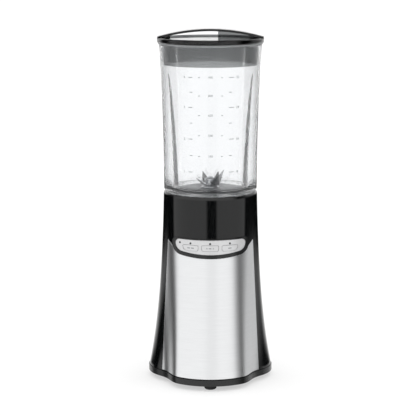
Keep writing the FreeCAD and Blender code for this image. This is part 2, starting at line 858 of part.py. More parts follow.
stator_bore = armature_radius + air_gap
pockets = [
    rod("StatorBore", 0, 0, stack_low - 1, stack_top + 1, stator_bore),
]
coil_x = 23.22
for number, side in enumerate((-1, 1)):
    for step, along in enumerate((-1, 1)):
        name = f"StatorPocket{number}{step}"
        pockets.append(box(name, side * coil_x, along * 17.0, stack_low - 1, 9.5, 8.5, stack_tall + 2))
stator_trim = ring("stator_trim", 0, 43, stack_low, stack_top)

field = []
for number, side in enumerate((-1, 1)):
    outer = box(f"FieldOuter{number}", side * coil_x, 0, stack_low - 8, 8.7, 42.0, stack_tall + 16)
    inner = box(f"FieldInner{number}", side * coil_x, 0, stack_low - 0.2, 9.7, 26.4, stack_tall + 0.4)
    field.append(cut(f"FieldCoil{number}", outer, inner))
keep("field_windings", fuse("FieldWindings", *field))

bearing_tall = 7.0
for label, low, inner in (
    ("lower_motor_bearing", motor_low + 0.6, spindle_radius - 1 + running),
    ("upper_motor_bearing", motor_top - bearing_tall, spindle_radius + running),
):
    keep(label, ring(label, inner, inner + 7.0, low, low + bearing_tall))

arm_length = 66.0
lower_cup = revolved(
    "lower_bracket_cup",
    [
        (5.0, motor_low - 1.6),
        (spindle_radius + 8.5, motor_low - 1.6),
        (spindle_radius + 8.5, motor_low + 6.0),
        (spindle_radius + 6.0 + running, motor_low + 6.0),
        (spindle_radius + 6.0 + running, motor_low + 0.6),
        (5.0, motor_low + 0.6),
    ],
)
lower_arm = box("LowerArm", 0, 0, motor_low - 1.6, 12, arm_length, 3.0)
lower_arm_bore = rod("LowerArmBore", 0, 0, motor_low - 4, motor_low + 9, spindle_radius + 6.0 + running)
lower_pieces = [cut("LowerArmOpen", lower_arm, lower_arm_bore)]
for number, side in enumerate((-1, 1)):
    post_tall = stack_low - motor_low + 1.4
    post_y = side * (arm_length / 2 - 4)
    lower_pieces.append(box(f"LowerPost{number}", 0, post_y, motor_low - 1.6, 12, 8, post_tall))
bolt_y = arm_length / 2 - 4
bolt_radius = cell("bolt_radius", 2.0)
lower_bolts = [
    rod(f"LowerBolt{number}", 0, side * bolt_y, motor_low - 5, stack_low + 5, bolt_radius + 0.2)
    for number, side in enumerate((-1, 1))
]
lower_whole = fuse("LowerBracketWhole", lower_cup, *lower_pieces)
keep("lower_motor_bracket", cut("LowerMotorBracket", lower_whole, *lower_bolts))

upper_cup = revolved(
    "upper_bracket_cup",
    [
        (spindle_radius + 1.2, motor_top),
        (spindle_radius + 7.0 + running, motor_top),
        (spindle_radius + 7.0 + running, motor_top - bearing_tall + 1.5),
        (spindle_radius + 10.0, motor_top - bearing_tall + 1.5),
        (spindle_radius + 10.0, motor_top - 0.5),
        (35.5, motor_top - 0.5),
        (35.5, motor_top + 2.5),
        (spindle_radius + 1.2, motor_top + 2.5),
    ],
)
upper_pieces = []
for number, side in enumerate((-1, 1)):
    post_y = side * (fan_radius + 4.4)
    post_tall = motor_top - stack_top - 4.8
    upper_pieces.append(box(f"UpperPost{number}", 0, post_y, stack_top + 5.0, 14, 5.0, post_tall))
    upper_pieces.append(
        box(f"UpperFoot{number}", 0, side * (arm_length / 2 - 0.55), stack_top + 0.2, 14, 13.0, 5.0)
    )
upper_bolts = [
    rod(f"UpperBolt{number}", 0, side * bolt_y, stack_top - 5, stack_top + 12, bolt_radius + 0.2)
    for number, side in enumerate((-1, 1))
]
upper_bolts += [
    rod(f"HeadRoom{number}", 0, side * bolt_y, stack_top + 5.2, stack_top + 9, 3.9)
    for number, side in enumerate((-1, 1))
]
upper_whole = fuse("UpperBracketWhole", upper_cup, *upper_pieces)
keep("upper_motor_bracket", cut("UpperMotorBracket", upper_whole, *upper_bolts))

bolts = []
for number, side in enumerate((-1, 1)):
    shank = rod(f"BoltShank{number}", 0, side * bolt_y, motor_low - 3.2, stack_top + 5.2, bolt_radius)
    head = rod(f"BoltHead{number}", 0, side * bolt_y, stack_top + 5.2, stack_top + 8.2, 3.6)
    nut = rod(f"BoltNut{number}", 0, side * bolt_y, motor_low - 4.6, motor_low - 1.6, 3.6)
    bolts.append(fuse(f"Bolt{number}", shank, head, nut))
keep("motor_bolts", fuse("MotorBolts", *bolts))

stator_bolt_holes = [
    rod(f"StatorBolt{number}", 0, side * bolt_y, stack_low - 2, stack_top + 2, bolt_radius + 0.1)
    for number, side in enumerate((-1, 1))
]
stator_block = box("StatorBlock", 0, 0, stack_low, stator_width, arm_length, stack_tall)
stator_solid = common("StatorTrimmed", cut("StatorOpen", stator_block, *pockets), stator_trim)
keep("stator_core", cut("StatorCoreDrilled", stator_solid, *stator_bolt_holes))

brush_height = commutator_low + 7
brushes = []
holders = []
springs_out = commutator_radius + 18
for number, side in enumerate((-1, 1)):
    start = commutator_radius + 0.15
    brushes.append(
        box(f"Brush{number}", side * (start + 5.5), 0, brush_height - 3.5, 11, 5.0, 7.0)
    )
    sleeve = box(f"Holder{number}", side * (start + 11.0), 0, brush_height - 5.0, 16, 8.0, 10.0)
    slide = box(f"HolderSlide{number}", side * (start + 10.0), 0, brush_height - 3.6, 15.6, 5.2, 7.2)
    strap_tall = brush_height - motor_low - 4.0
    strap = box(f"HolderStrap{number}", side * (start + 17.0), 0, motor_low + 1.6, 4.0, 10.0, strap_tall)
    holders.append(cut(f"HolderOpen{number}", fuse(f"HolderWhole{number}", sleeve, strap), slide))
keep("carbon_brushes", fuse("CarbonBrushes", *brushes))
holder_bar = box("HolderBar", 0, 0, motor_low + 1.6, 2 * (springs_out.value + 1.0), 10.0, 2.0)
holder_gap = rod("HolderGap", 0, 0, motor_low, motor_low + 9, spindle_radius + 8.8)
keep("brush_holder", cut("BrushHolder", fuse("BrushHolderWhole", holder_bar, *holders), holder_gap))

mount_low = motor_top + 2.5
mounts = []
for number, angle in enumerate((45, 135, 225, 315)):
    x, y = polar(30, angle)
    mounts.append(rod(f"Mount{number}", x, y, mount_low, seat_floor - 2.5, 4.2))
keep("rubber_mounts", fuse("RubberMounts", *mounts))

baffle_low = fan_low - 2
keep(
    "fan_shroud",
    revolved(
        "fan_shroud",
        [
            (fan_radius + 0.9, baffle_low),
            (fan_radius + 1.7, baffle_low),
            (fan_radius + 1.7, motor_top - 0.7),
            (fan_radius + 0.9, motor_top - 0.7),
        ],
    ),
)


# ---------------------------------------------------------------------------- drive couplings
drive_low = seat_floor - 17.0
dog_low = drive_low + 6.0
dog_count = 3
dog_width = 56
keep(
    "slinger",
    ring("slinger", spindle_radius, 12.0, motor_top + 4.0, motor_top + 6.0),
)
drive_hub = ring("drive_hub", spindle_radius, 7.0, drive_low, dog_low + 6.0)
drive_disc = ring("drive_disc", 6.5, dog_radius, drive_low, dog_low)
drive_dogs = [
    sector(f"DriveDog{n}", 7.8, dog_radius, dog_low - 0.5, dog_low + dog_tall, 120 * n, dog_width)
    for n in range(dog_count)
]
keep("drive_coupling", fuse("DriveCoupling", drive_hub, drive_disc, *drive_dogs))

spindle_disc_low = dog_low + dog_tall + 0.5
spindle_top_low = spindle_disc_low + 3.4
spindle_disc = ring("spindle_disc", spindle_radius, dog_radius, spindle_disc_low, spindle_top_low)
spindle_dogs = [
    sector(
        f"SpindleDog{n}",
        7.8,
        dog_radius,
        spindle_disc_low - dog_tall + 0.3,
        spindle_disc_low + 0.5,
        60 + 120 * n,
        dog_width,
    )
    for n in range(dog_count)
]
keep("spindle_coupling", fuse("SpindleCoupling", spindle_disc, *spindle_dogs))


# ---------------------------------------------------------------------------- blade set
sleeve_low = collar_low - 2.0
sleeve_top = collar_top + 2.5
nut_low = sleeve_top + 0.8 + blade_gauge * 2
keep(
    "blade_shaft",
    revolved(
        "blade_shaft",
        [
            (0, spindle_disc_low),
            (spindle_radius, spindle_disc_low),
            (spindle_radius, nut_low),
            (spindle_radius - 0.8, nut_low),
            (spindle_radius - 0.8, nut_low + 3.5),
            (0, nut_low + 3.5),
        ],
    ),
)
keep(
    "bearing_sleeve",
    revolved(
        "bearing_sleeve",
        [
            (sleeve_radius - sleeve_wall, sleeve_low),
            (sleeve_radius, sleeve_low),
            (sleeve_radius, collar_top + 0.1),
            (sleeve_radius + 1.6, collar_top + 0.1),
            (sleeve_radius + 1.6, collar_top + 1.2),
            (sleeve_radius, sleeve_top),
            (spindle_radius + 0.4, sleeve_top),
            (spindle_radius + 0.4, sleeve_top - 1.0),
            (sleeve_radius - sleeve_wall, sleeve_top - 1.0),
        ],
    ),
)
bush_tall = 7.0
for label, low in (
    ("lower_spindle_bush", sleeve_low + 0.5),
    ("upper_spindle_bush", sleeve_top - 1.0 - 3.2 - bush_tall),
):
    keep(label, ring(label, spindle_radius + running, sleeve_radius - sleeve_wall, low, low + bush_tall))
keep(
    "shaft_seal",
    ring(
        "shaft_seal",
        spindle_radius + running,
        sleeve_radius - sleeve_wall,
        sleeve_top - 4.0,
        sleeve_top - 1.1,
    ),
)
keep("retaining_clip", ring("retaining_clip", spindle_radius, 6.2, spindle_top_low, spindle_top_low + 0.8))
keep("blade_washer", ring("blade_washer", spindle_radius, 7.0, sleeve_top + 0.2, sleeve_top + 0.8))
keep(
    "blade_nut",
    revolved(
        "blade_nut",
        [
            (spindle_radius - 0.8, nut_low),
            (6.0, nut_low),
            (6.0, nut_low + 3.6),
            (1.0, nut_low + 7.0),
            (0, nut_low + 7.0),
            (0, nut_low + 3.5),
            (spindle_radius - 0.8, nut_low + 3.5),
        ],
        {2: 7.5},
    ),
)


def blade(label, low, heading, wings):
    """A flat bar with a bent, tapering wing at each end. wings gives each wing's rise in degrees,
    length and width."""
    bar_half = 8.6
    bar_width = 13.0
    corner = FreeCAD.Vector(-bar_half, -bar_width / 2, 0)
    bar = Part.makeBox(2 * bar_half, bar_width, blade_gauge.value, corner)
    whole = bar
    for side, (rise, length, width) in zip((1, -1), wings):
        gauge = blade_gauge.value
        ends = []
        for x, half, thick in ((0, width / 2, gauge), (length, 0.6, gauge * 0.35)):
            around = ((-half, 0), (half, 0), (half, thick), (-half, thick), (-half, 0))
            ends.append(Part.makePolygon([FreeCAD.Vector(x, y, z) for y, z in around]))
        wing = Part.makeLoft(ends, True, True)
        wing.rotate(FreeCAD.Vector(0, 0, 0), FreeCAD.Vector(0, 1, 0), -rise)
        wing.translate(FreeCAD.Vector(bar_half - 0.35, 0, 0))
        if side < 0:
            wing.rotate(FreeCAD.Vector(0, 0, 0), FreeCAD.Vector(0, 0, 1), 180)
        whole = whole.fuse(wing)
    whole = whole.cut(Part.makeCylinder(spindle_radius.value, 10, FreeCAD.Vector(0, 0, -5)))
    made = feature(name_of(label), whole.removeSplitter())
    return keep(label, place(made, 0, 0, low, heading))


lower_blade_low = sleeve_top + 0.8
blade("lower_blade", lower_blade_low, 120, ((55, 15.0, 11.0), (62, 18.5, 12.0)))
blade("upper_blade", lower_blade_low + blade_gauge, 30, ((58, 16.0, 11.0), (38, 12.0, 11.0)))


# ---------------------------------------------------------------------------- blade collar
channel_in = neck_inner - 0.6
channel_out = neck_inner + neck_wall + 0.5
channel_low = neck_end - seal_tall - 0.1
collar = revolved(
    "blade_collar_shell",
    [
        (sleeve_radius + running, sleeve_low),
        (sleeve_radius + 3, sleeve_low),
        (sleeve_radius + 3, collar_top - collar_plate),
        (channel_in - collar_plate, collar_top - collar_plate),
        (channel_in - collar_plate, collar_low),
        (collar_radius, collar_low),
        (collar_radius, cup_bottom - 2.4),
        (channel_out, cup_bottom - 2.4),
        (channel_out, channel_low),
        (channel_in, channel_low),
        (channel_in, collar_top - 0.8),
        (channel_in - 0.8, collar_top),
        (sleeve_radius + running, collar_top),
    ],
)
lugs = []
for number, middle in enumerate((-90, 30, 150)):
    blank = sector(
        f"LugBlank{number}",
        collar_radius - 0.8,
        seat_radius - 0.5,
        lug_low,
        lug_low + lug_tall,
        middle,
        lug_width,
    )
    ramp = box(f"LugRamp{number}", 0, 0, 0, 60, 60, 10)
    tilt = FreeCAD.Rotation(FreeCAD.Vector(1, 0, 0), lug_slope)
    heading = FreeCAD.Rotation(FreeCAD.Vector(0, 0, 1), middle)
    spin = heading.multiply(tilt)
    reach = FreeCAD.Vector(seat_radius.value - 2, 0, 0)
    start = heading.multVec(reach) + spin.multVec(FreeCAD.Vector(-30, -30, -10))
    start.z += (lug_low + lug_rise / 2).value
    for letter in "xyz":
        ramp.setExpression(f"Placement.Base.{letter}", None)
    ramp.Placement = FreeCAD.Placement(start, spin)
    lugs.append(cut(f"Lug{number}", blank, ramp))
keep("blade_collar", fuse("BladeCollar", collar, *lugs))
keep("cup_seal", ring("cup_seal", channel_in + 0.3, channel_out - 0.3, channel_low, neck_end))


# ---------------------------------------------------------------------------- cup
cup_sweep = (cup_top - cup_flare_low) * (cup_top - cup_flare_low) / ((cup_mouth - cup_radius) * 2)
neck_outer = neck_inner + neck_wall
foot_out = cup_radius - 1.4
cup_shell = revolved(
    "cup_shell",
    [
        (foot_out, base_top + play),
        (foot_out, cup_bottom - 0.6),
        (cup_radius - 0.4, cup_bottom + 0.6),
        (cup_radius, cup_flare_low),
        (cup_mouth, cup_top),
        (cup_mouth - cup_wall, cup_top),
        (cup_radius - cup_wall, cup_flare_low),
        (cup_radius - cup_wall - 2.4, cup_bottom + cup_floor),
        (neck_inner, cup_bottom + cup_floor - 1.0),
        (neck_inner, neck_end),
        (neck_outer, neck_end),
        (neck_outer, cup_bottom),
        (foot_out - 3.0, cup_bottom),
        (foot_out - 3.0, base_top + play),
    ],
    {3: -cup_sweep, 5: cup_sweep + cup_wall},
)
doc.recompute()
thread_reach = channel_out.value - 0.1
inside_low = cup_bottom.value + 1.0
rib_lean = math.degrees(
    math.atan(
        (cup_mouth.value - cup_radius.value) * 0.62 / (rib_top.value - inside_low)
        + rib_depth.value / (rib_top.value - inside_low)
    )
)
trim = Part.makeCylinder(
    cup_radius.value - cup_wall.value / 2,
    rib_top.value + 6 - inside_low,
    FreeCAD.Vector(0, 0, inside_low),
)
upper_trim = Part.makeCone(
    cup_radius.value - cup_wall.value / 2,
    cup_mouth.value - cup_wall.value / 2 - 1.6,
    rib_top.value - cup_flare_low.value - 4.0,
    FreeCAD.Vector(0, 0, cup_flare_low.value + 10.0),
)
trim = trim.fuse(upper_trim)
cup_solid = cup_shell.Shape
for thread_low in (neck_end.value + 3.0, neck_end.value + 7.5):
    spot = FreeCAD.Vector(0, 0, thread_low)
    thread = Part.makeCylinder(thread_reach, 1.6, spot)
    cup_solid = cup_solid.fuse(thread.cut(Part.makeCylinder(neck_inner.value + 1, 1.6, spot)))
for angle in (-30, 90, 210):
    reach = cup_radius.value - cup_wall.value + rib_radius.value - rib_depth.value
    rib = Part.makeCylinder(rib_radius.value, 160)
    rib.rotate(FreeCAD.Vector(0, 0, 0), FreeCAD.Vector(0, 1, 0), rib_lean)
    rib.translate(FreeCAD.Vector(reach, 0, inside_low))
    rib.rotate(FreeCAD.Vector(0, 0, 0), FreeCAD.Vector(0, 0, 1), angle)
    cup_solid = cup_solid.fuse(rib.common(trim))
keep("cup", feature("Cup", cup_solid.removeSplitter()))


# ---------------------------------------------------------------------------- lid
rim_low = cup_top + 1.4
skirt_end = cup_top - lid_skirt
skirt_top_out = cup_mouth - cup_wall - play
skirt_end_out = cup_mouth - cup_wall - play - 1.9
lid_top = cup_top + 5.0
lid_cap = revolved(
    "lid_cap",
    [
        (0, lid_top - lid_wall),
        (skirt_top_out - lid_wall, lid_top - lid_wall),
        (skirt_end_out - lid_wall, skirt_end),
        (skirt_end_out, skirt_end),
        (skirt_top_out, rim_low),
        (lid_rim - 1.0, rim_low),
        (lid_rim, rim_low + 1.0),
        (lid_rim, lid_top + 0.6),
        (lid_rim - 1.0, lid_top + 1.6),
        (lid_rim - 2.6, lid_top + 1.6),
        (lid_rim - 3.6, lid_top),
        (0, lid_top),
    ],
)
arch_top = total_height
arch_centre = arch_top - arch_radius
arch_inner = arch_radius - arch_gauge
doc.recompute()
arch_bar = Part.makeCylinder(
    arch_radius.value,
    arch_width.value,
    FreeCAD.Vector(0, -arch_width.value / 2, arch_centre.value),
    FreeCAD.Vector(0, 1, 0),
)
arch_hollow = Part.makeCylinder(
    arch_inner.value,
    arch_width.value + 2,
    FreeCAD.Vector(0, -arch_width.value / 2 - 1, arch_centre.value),
    FreeCAD.Vector(0, 1, 0),
)
end_thick = 13.0
arch_room = Part.makeCylinder(lid_rim.value - end_thick, 40, FreeCAD.Vector(0, 0, lid_top.value - 5))
arch_limit = Part.makeCylinder(lid_rim.value, 20, FreeCAD.Vector(0, 0, lid_top.value - lid_wall.value / 2))
arch_shape = arch_bar.common(arch_limit)
finger_gap = arch_hollow.common(arch_room)
web_start = 8.0
web_end = lid_rim.value - end_thick + 1
web = Part.makeBox(web_end - web_start, 3.0, 30, FreeCAD.Vector(web_start, -1.5, lid_top.value - 5))
finger_gap = finger_gap.cut(web)
arch_shape = arch_shape.cut(finger_gap)
lid_solid = lid_cap.Shape.fuse(arch_shape).removeSplitter()
keep("lid", feature("Lid", lid_solid))
keep(
    "lid_gasket",
    ring("lid_gasket", skirt_top_out + 0.05, cup_mouth + 0.6, cup_top, rim_low),
)


# ---------------------------------------------------------------------------- interlock
plunger_top = lug_low + lug_rise + 0.1
pin = rod("PlungerPin", plunger_x, plunger_y, plunger_low, plunger_top, plunger_radius)
shoulder = rod(
    "PlungerShoulder", plunger_x, plunger_y, seat_floor - 6, seat_floor - 2.8, plunger_radius + 1.2
)
keep("interlock_plunger", fuse("InterlockPlunger", pin, shoulder))

spring_low = plunger_low + 5.0
spring_high = seat_floor - 6.1
turns = 6
wire = 0.35
coil_radius = plunger_radius.value + 0.7
pitch = (spring_high.value - spring_low.value - 2 * wire) / turns
helix = Part.makeHelix(pitch, pitch * turns, coil_radius)
start = FreeCAD.Vector(coil_radius, 0, 0)
section = Part.Wire([Part.makeCircle(wire, start, FreeCAD.Vector(0, 1, 0.25))])
coil = Part.Wire(helix.Edges).makePipeShell([section], True, True)
spring = doc.addObject("Part::Feature", "InterlockSpring")
spring.Shape = coil
spring.Placement = FreeCAD.Placement(
    FreeCAD.Vector(plunger_x.value, plunger_y.value, spring_low.value + wire), FreeCAD.Rotation()
)
keep("interlock_spring", spring)

switch_top = plunger_low + 4.6
switch_body = box("SwitchBody", plunger_x, plunger_y, switch_top - 14, 11, 6.0, 9.0)
guide = rod("SwitchGuide", plunger_x, plunger_y, switch_top - 5, switch_top, 2.8)
guide_bore = rod(
    "SwitchGuideBore", plunger_x, plunger_y, switch_top - 8.5, switch_top + 2, plunger_radius + 0.2
)
switch_whole = fuse("InterlockSwitchWhole", switch_body, guide)
keep("interlock_switch", cut("InterlockSwitch", switch_whole, guide_bore))


# ---------------------------------------------------------------------------- check and export
doc.recompute()
faults = [o.Name for o in doc.Objects if {"Invalid", "Error"} & set(o.State)]
if faults:
    raise SystemExit(f"objects failed: {faults}")
os.makedirs("parts", exist_ok=True)
for label, thing in sorted(nodes.items()):
    shape = thing.Shape
    if shape.isNull() or not shape.isValid() or not shape.Solids:
        raise SystemExit(f"{label}: null, invalid or no solid")
    shape.exportStep(os.path.join("parts", label + ".step"))
    print(f"{label:22s} solids {len(shape.Solids)} volume {shape.Volume:10.1f}")
print(len(nodes), "nodes")
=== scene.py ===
import json
import math

import bmesh
import bpy
import numpy as np
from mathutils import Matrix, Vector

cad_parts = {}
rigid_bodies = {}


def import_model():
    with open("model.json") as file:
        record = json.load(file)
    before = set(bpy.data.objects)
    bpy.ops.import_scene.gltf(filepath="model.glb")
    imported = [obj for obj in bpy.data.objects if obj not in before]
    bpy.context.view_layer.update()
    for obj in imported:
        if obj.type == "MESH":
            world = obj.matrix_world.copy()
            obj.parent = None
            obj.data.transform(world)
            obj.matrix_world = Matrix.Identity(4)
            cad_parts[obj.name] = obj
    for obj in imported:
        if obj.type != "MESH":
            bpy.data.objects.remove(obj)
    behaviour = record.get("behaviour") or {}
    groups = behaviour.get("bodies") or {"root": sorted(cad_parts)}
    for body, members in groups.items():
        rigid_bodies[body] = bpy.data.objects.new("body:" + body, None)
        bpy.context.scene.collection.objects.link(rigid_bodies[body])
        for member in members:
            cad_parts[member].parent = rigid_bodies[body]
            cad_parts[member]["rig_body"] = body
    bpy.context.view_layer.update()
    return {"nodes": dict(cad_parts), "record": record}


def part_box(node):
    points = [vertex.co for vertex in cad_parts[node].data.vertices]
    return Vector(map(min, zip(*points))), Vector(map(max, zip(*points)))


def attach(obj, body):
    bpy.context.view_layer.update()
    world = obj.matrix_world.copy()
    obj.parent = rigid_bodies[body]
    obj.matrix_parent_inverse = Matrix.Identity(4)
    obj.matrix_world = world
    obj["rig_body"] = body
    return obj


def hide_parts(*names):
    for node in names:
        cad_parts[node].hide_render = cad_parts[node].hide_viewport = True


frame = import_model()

bl_info = {
    "name": "Countertop blender",
    "version": (1, 0, 0),
    "blender": (4, 5, 0),
    "location": "3D View > Sidebar > Kitchen",
    "description": "Dresses the frame of a countertop blender with its finished surfaces",
    "category": "Object",
}

MM = 0.001
SLOT_OF = {part["node"]: part["material_slot"] for part in frame["record"]["subparts"]}


# ------------------------------------------------------------------------------ colours
def linear(hex_code):
    """A #rrggbb colour as linear red, green and blue. Each channel over 0.04045 is shifted,
    scaled and raised to 2.4, and a darker one is divided by 12.92."""
    channels = [int(hex_code[i : i + 2], 16) / 255 for i in (1, 3, 5)]
    return tuple(((c + 0.055) / 1.055) ** 2.4 if c > 0.04045 else c / 12.92 for c in channels)


def paint(name, description, hex_code):
    """A colour that a user can change."""
    return bpy.props.FloatVectorProperty(
        name=name,
        description=description,
        subtype="COLOR",
        size=3,
        min=0,
        max=1,
        default=linear(hex_code),
    )


def length(name, description, millimetres):
    """A length that a user can change, kept in metres."""
    return bpy.props.FloatProperty(
        name=name,
        description=description,
        default=millimetres * MM,
        min=0,
        unit="LENGTH",
        precision=5,
    )


class KitchenColours(bpy.types.PropertyGroup):
    """The finishes' own colours, and the grey of the painted shade on the cup's edges."""

    shell: paint("Shell", "Glossy plastic of the tall housing", "#08090A")
    steel: paint("Steel", "Brushed wrap on the front", "#EEEFF0")
    silver: paint("Silver", "Satin paint of the panel and its buttons", "#D6D6D7")
    clear: paint("Cup", "Clear plastic of the cup", "#F7F8F9")
    # Painted shade: the grey that the cup's colour turns to where a wall is seen edge on,
    # standing in for the dark edges that refraction gives.
    edge: paint("Cup edge", "What the cup turns to where it is seen edge on", "#505557")
    smoke: paint("Smoke", "Smoky plastic of the lid", "#A3A6A7")
    ink: paint("Ink", "Printed volume marks", "#5F6366")
    rubber: paint("Rubber", "Feet and cord gland", "#141414")


class KitchenSizes(bpy.types.PropertyGroup):
    """Sizes of the pieces that are drawn here, which match the frame's own."""

    top_radius: length("Top radius", "Radius of the housing's round top", 50.0)
    front_flare: length("Front flare", "How far the front stands out at the foot", 6.5)
    lobe_flare: length("Lobe flare", "How far the rear corners stand out at the foot", 14.2)
    waist: length("Waist", "How far the flanks pull in at the foot", 4.7)
    wall: length("Shell wall", "Thickness of the housing", 2.4)
    cup_wall: length("Cup wall", "Thickness of the cup", 2.8)
    rib_depth: length("Rib depth", "How far a rib stands into the cup at its foot", 4.6)
    rib_radius: length("Rib radius", "Roundness of a rib", 16.0)
    mark_height: length("Mark height", "Height of a printed number", 3.6)


# ------------------------------------------------------------------------------ mesh making
def surface(name, points, around=False, along=False):
    """A mesh from a grid of points, one quad between each four neighbours. around closes the
    first direction on itself and along the second."""
    rows, columns = points.shape[:2]
    i = np.arange(rows if around else rows - 1)[:, None]
    j = np.arange(columns if along else columns - 1)[None, :]
    i_next, j_next = (i + 1) % rows, (j + 1) % columns
    near, far = i * columns, i_next * columns
    corners = [near + j, far + j, far + j_next, near + j_next]
    quads = np.stack([np.broadcast_to(c, (i.size, j.size)) for c in corners], -1).reshape(-1, 4)
    mesh = bpy.data.meshes.new(name)
    mesh.vertices.add(rows * columns)
    mesh.vertices.foreach_set("co", points.astype(np.float32).ravel())
    mesh.loops.add(quads.size)
    mesh.loops.foreach_set("vertex_index", quads.astype(np.int32).ravel())
    mesh.polygons.add(len(quads))
    mesh.polygons.foreach_set("loop_start", np.arange(0, quads.size, 4, dtype=np.int32))
    mesh.update(calc_edges=True)
    mesh.validate()
    mesh.shade_smooth()
    return mesh


def oblong(name, wide, tall, columns):
    """A flat oblong round the origin, in a row of cells fine enough to bend."""
    x = np.linspace(-wide / 2, wide / 2, columns)[:, None]
    y = np.array([-tall / 2, tall / 2])[None, :]
    return surface(name, np.stack(np.broadcast_arrays(x, y, np.zeros((columns, 2))), -1))


def merged(name, meshes):
    """One mesh from several, which are used up."""
    work = bmesh.new()
    for mesh in meshes:
        work.from_mesh(mesh)
        bpy.data.meshes.remove(mesh)
    made = bpy.data.meshes.new(name)
    work.to_mesh(made)
    work.free()
    return made


def facing_out(mesh):
    """Merges a closed mesh's doubles and turns its faces outwards."""
    work = bmesh.new()
    work.from_mesh(mesh)
    bmesh.ops.remove_doubles(work, verts=work.verts, dist=1e-7)
    bmesh.ops.recalc_face_normals(work, faces=work.faces)
    work.to_mesh(mesh)
    work.free()
    mesh.shade_smooth()
    return mesh


def piece(name, mesh, finish, body, nodes=()):
    """Puts a mesh in the scene with its finish, its body and the nodes it stands for."""
    made = bpy.data.objects.new(name, mesh)
    bpy.context.scene.collection.objects.link(made)
    mesh.materials.clear()
    mesh.materials.append(finish)
    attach(made, body)
    if nodes:
        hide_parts(*nodes)
    return made


def modifier(made, kind, **settings):
    """Adds a modifier with its settings."""
    added = made.modifiers.new(kind.title(), kind)
    for name, value in settings.items():
        setattr(added, name, value)
    return added


def rounded(corners, radii):
    """A closed outline with its corners rounded. Each corner is replaced by a curve that starts
    and ends the radius away from it and is the quadratic blend of those two points and the
    corner. No curve takes quite half of a side."""
    corners = np.asarray(corners, float)
    share = np.linspace(0, 1, 6)[:, None]
    least_sides = 2.01
    parts = []
    for index, (corner, radius) in enumerate(zip(corners, radii)):
        ends = []
        for other in (corners[index - 1], corners[(index + 1) % len(corners)]):
            side = other - corner
            long = np.linalg.norm(side)
            ends.append(corner + side / long * min(radius, long / least_sides))
        start, end = ends
        parts.append((1 - share) ** 2 * start + 2 * share * (1 - share) * corner + share**2 * end)
    return np.concatenate(parts)


def divided(outline, longest):
    """A closed outline with points added, evenly between its own, so that no stretch is longer
    than the limit."""
    parts = []
    for here, after in zip(outline, np.roll(outline, -1, axis=0)):
        count = max(1, math.ceil(np.linalg.norm(after - here) / longest))
        share = np.arange(count)[:, None] / count
        parts.append(here + (after - here) * share)
    return np.concatenate(parts)


def refined(node, finish, bevel, angle=32.0):
    """A finished piece that stands for a node: a copy of its mesh with its doubles merged, its
    flat faces made whole and its edges, where they turn by more than the angle in degrees,
    rounded by a bevel of the given millimetres."""
    mesh = frame["nodes"][node].data.copy()
    work = bmesh.new()
    work.from_mesh(mesh)
    bmesh.ops.remove_doubles(work, verts=work.verts, dist=2e-6)
    flat = math.radians(0.4)
    bmesh.ops.dissolve_limit(work, angle_limit=flat, verts=work.verts, edges=work.edges)
    work.to_mesh(mesh)
    work.free()
    if "custom_normal" in mesh.attributes:
        mesh.attributes.remove(mesh.attributes["custom_normal"])
    mesh.shade_smooth()
    mesh.set_sharp_from_angle(angle=math.radians(angle))
    made = piece("finished_" + node, mesh, finish, frame["nodes"][node]["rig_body"], [node])
    modifier(
        made,
        "BEVEL",
        width=bevel * MM,
        segments=2,
        limit_method="ANGLE",
        angle_limit=math.radians(angle),
        use_clamp_overlap=True,
    )
    modifier(made, "WEIGHTED_NORMAL", keep_sharp=True, weight=60)


# ------------------------------------------------------------------------------ material making
def add(tree, kind, links=None, **settings):
    """Adds a node: settings are its own properties, links its inputs by name or number, each a
    plain value or another node's output."""
    node = tree.nodes.new(kind)
    for name, value in settings.items():
        setattr(node, name, value)
    for key, value in (links or {}).items():
        if isinstance(value, bpy.types.NodeSocket):
            tree.links.new(value, node.inputs[key])
        else:
            node.inputs[key].default_value = value
    return node


def finish(name, colour, **sockets):
    """A material with one principled shader. colour is linear, and the other sockets are given by
    their names, in lower case with underscores for spaces."""
    made = bpy.data.materials.new(name)
    made.use_nodes = True
    tree = made.node_tree
    tree.nodes.clear()
    links = {"Base Color": (*colour, 1)}
    for key, value in sockets.items():
        links[key.replace("_", " ").title().replace("Ior", "IOR")] = value
    shader = add(tree, "ShaderNodeBsdfPrincipled", links)
    add(tree, "ShaderNodeOutputMaterial", {"Surface": shader.outputs[0]})
    return made, tree, shader


def drive(shader, socket, value):
    """Joins another node's output to one of the shader's inputs."""
    shader.id_data.links.new(value, shader.inputs[socket])


def place(tree, stretch=(1, 1, 1)):
    """The object's own coordinates in metres, stretched along each axis."""
    spot = add(tree, "ShaderNodeTexCoord").outputs["Object"]
    return add(tree, "ShaderNodeMapping", {"Vector": spot, "Scale": stretch}).outputs[0]


def noise(tree, size, detail=2.0, vector=None):
    """Noise whose patches are about the given millimetres wide."""
    links = {"Vector": vector or place(tree), "Scale": 1 / (size * MM), "Detail": detail}
    return add(tree, "ShaderNodeTexNoise", links).outputs[0]


def ridges(tree, apart, distortion=0.0):
    """Level ridges the given millimetres apart. The texture repeats after 2 pi / 20 of its own
    units, and its scale is those units in a metre."""
    links = {
        "Vector": place(tree),
        "Scale": 2 * math.pi / 20 / (apart * MM),
        "Distortion": distortion,
    }
    return add(tree, "ShaderNodeTexWave", links, bands_direction="Z").outputs[1]


def spread(tree, value, low=0.0, high=1.0, start=0.3, end=0.7):
    """A pattern's value carried from start..end to low..high."""
    links = {0: value, 1: start, 2: end, 3: low, 4: high}
    return add(tree, "ShaderNodeMapRange", links).outputs[0]


def tint(tree, factor, colour, shade):
    """A mix from a colour to a darker or lighter share of it."""
    other = tuple(min(1.0, c * shade) for c in colour)
    links = {0: factor, 6: (*colour, 1), 7: (*other, 1)}
    return add(tree, "ShaderNodeMix", links, data_type="RGBA").outputs[2]


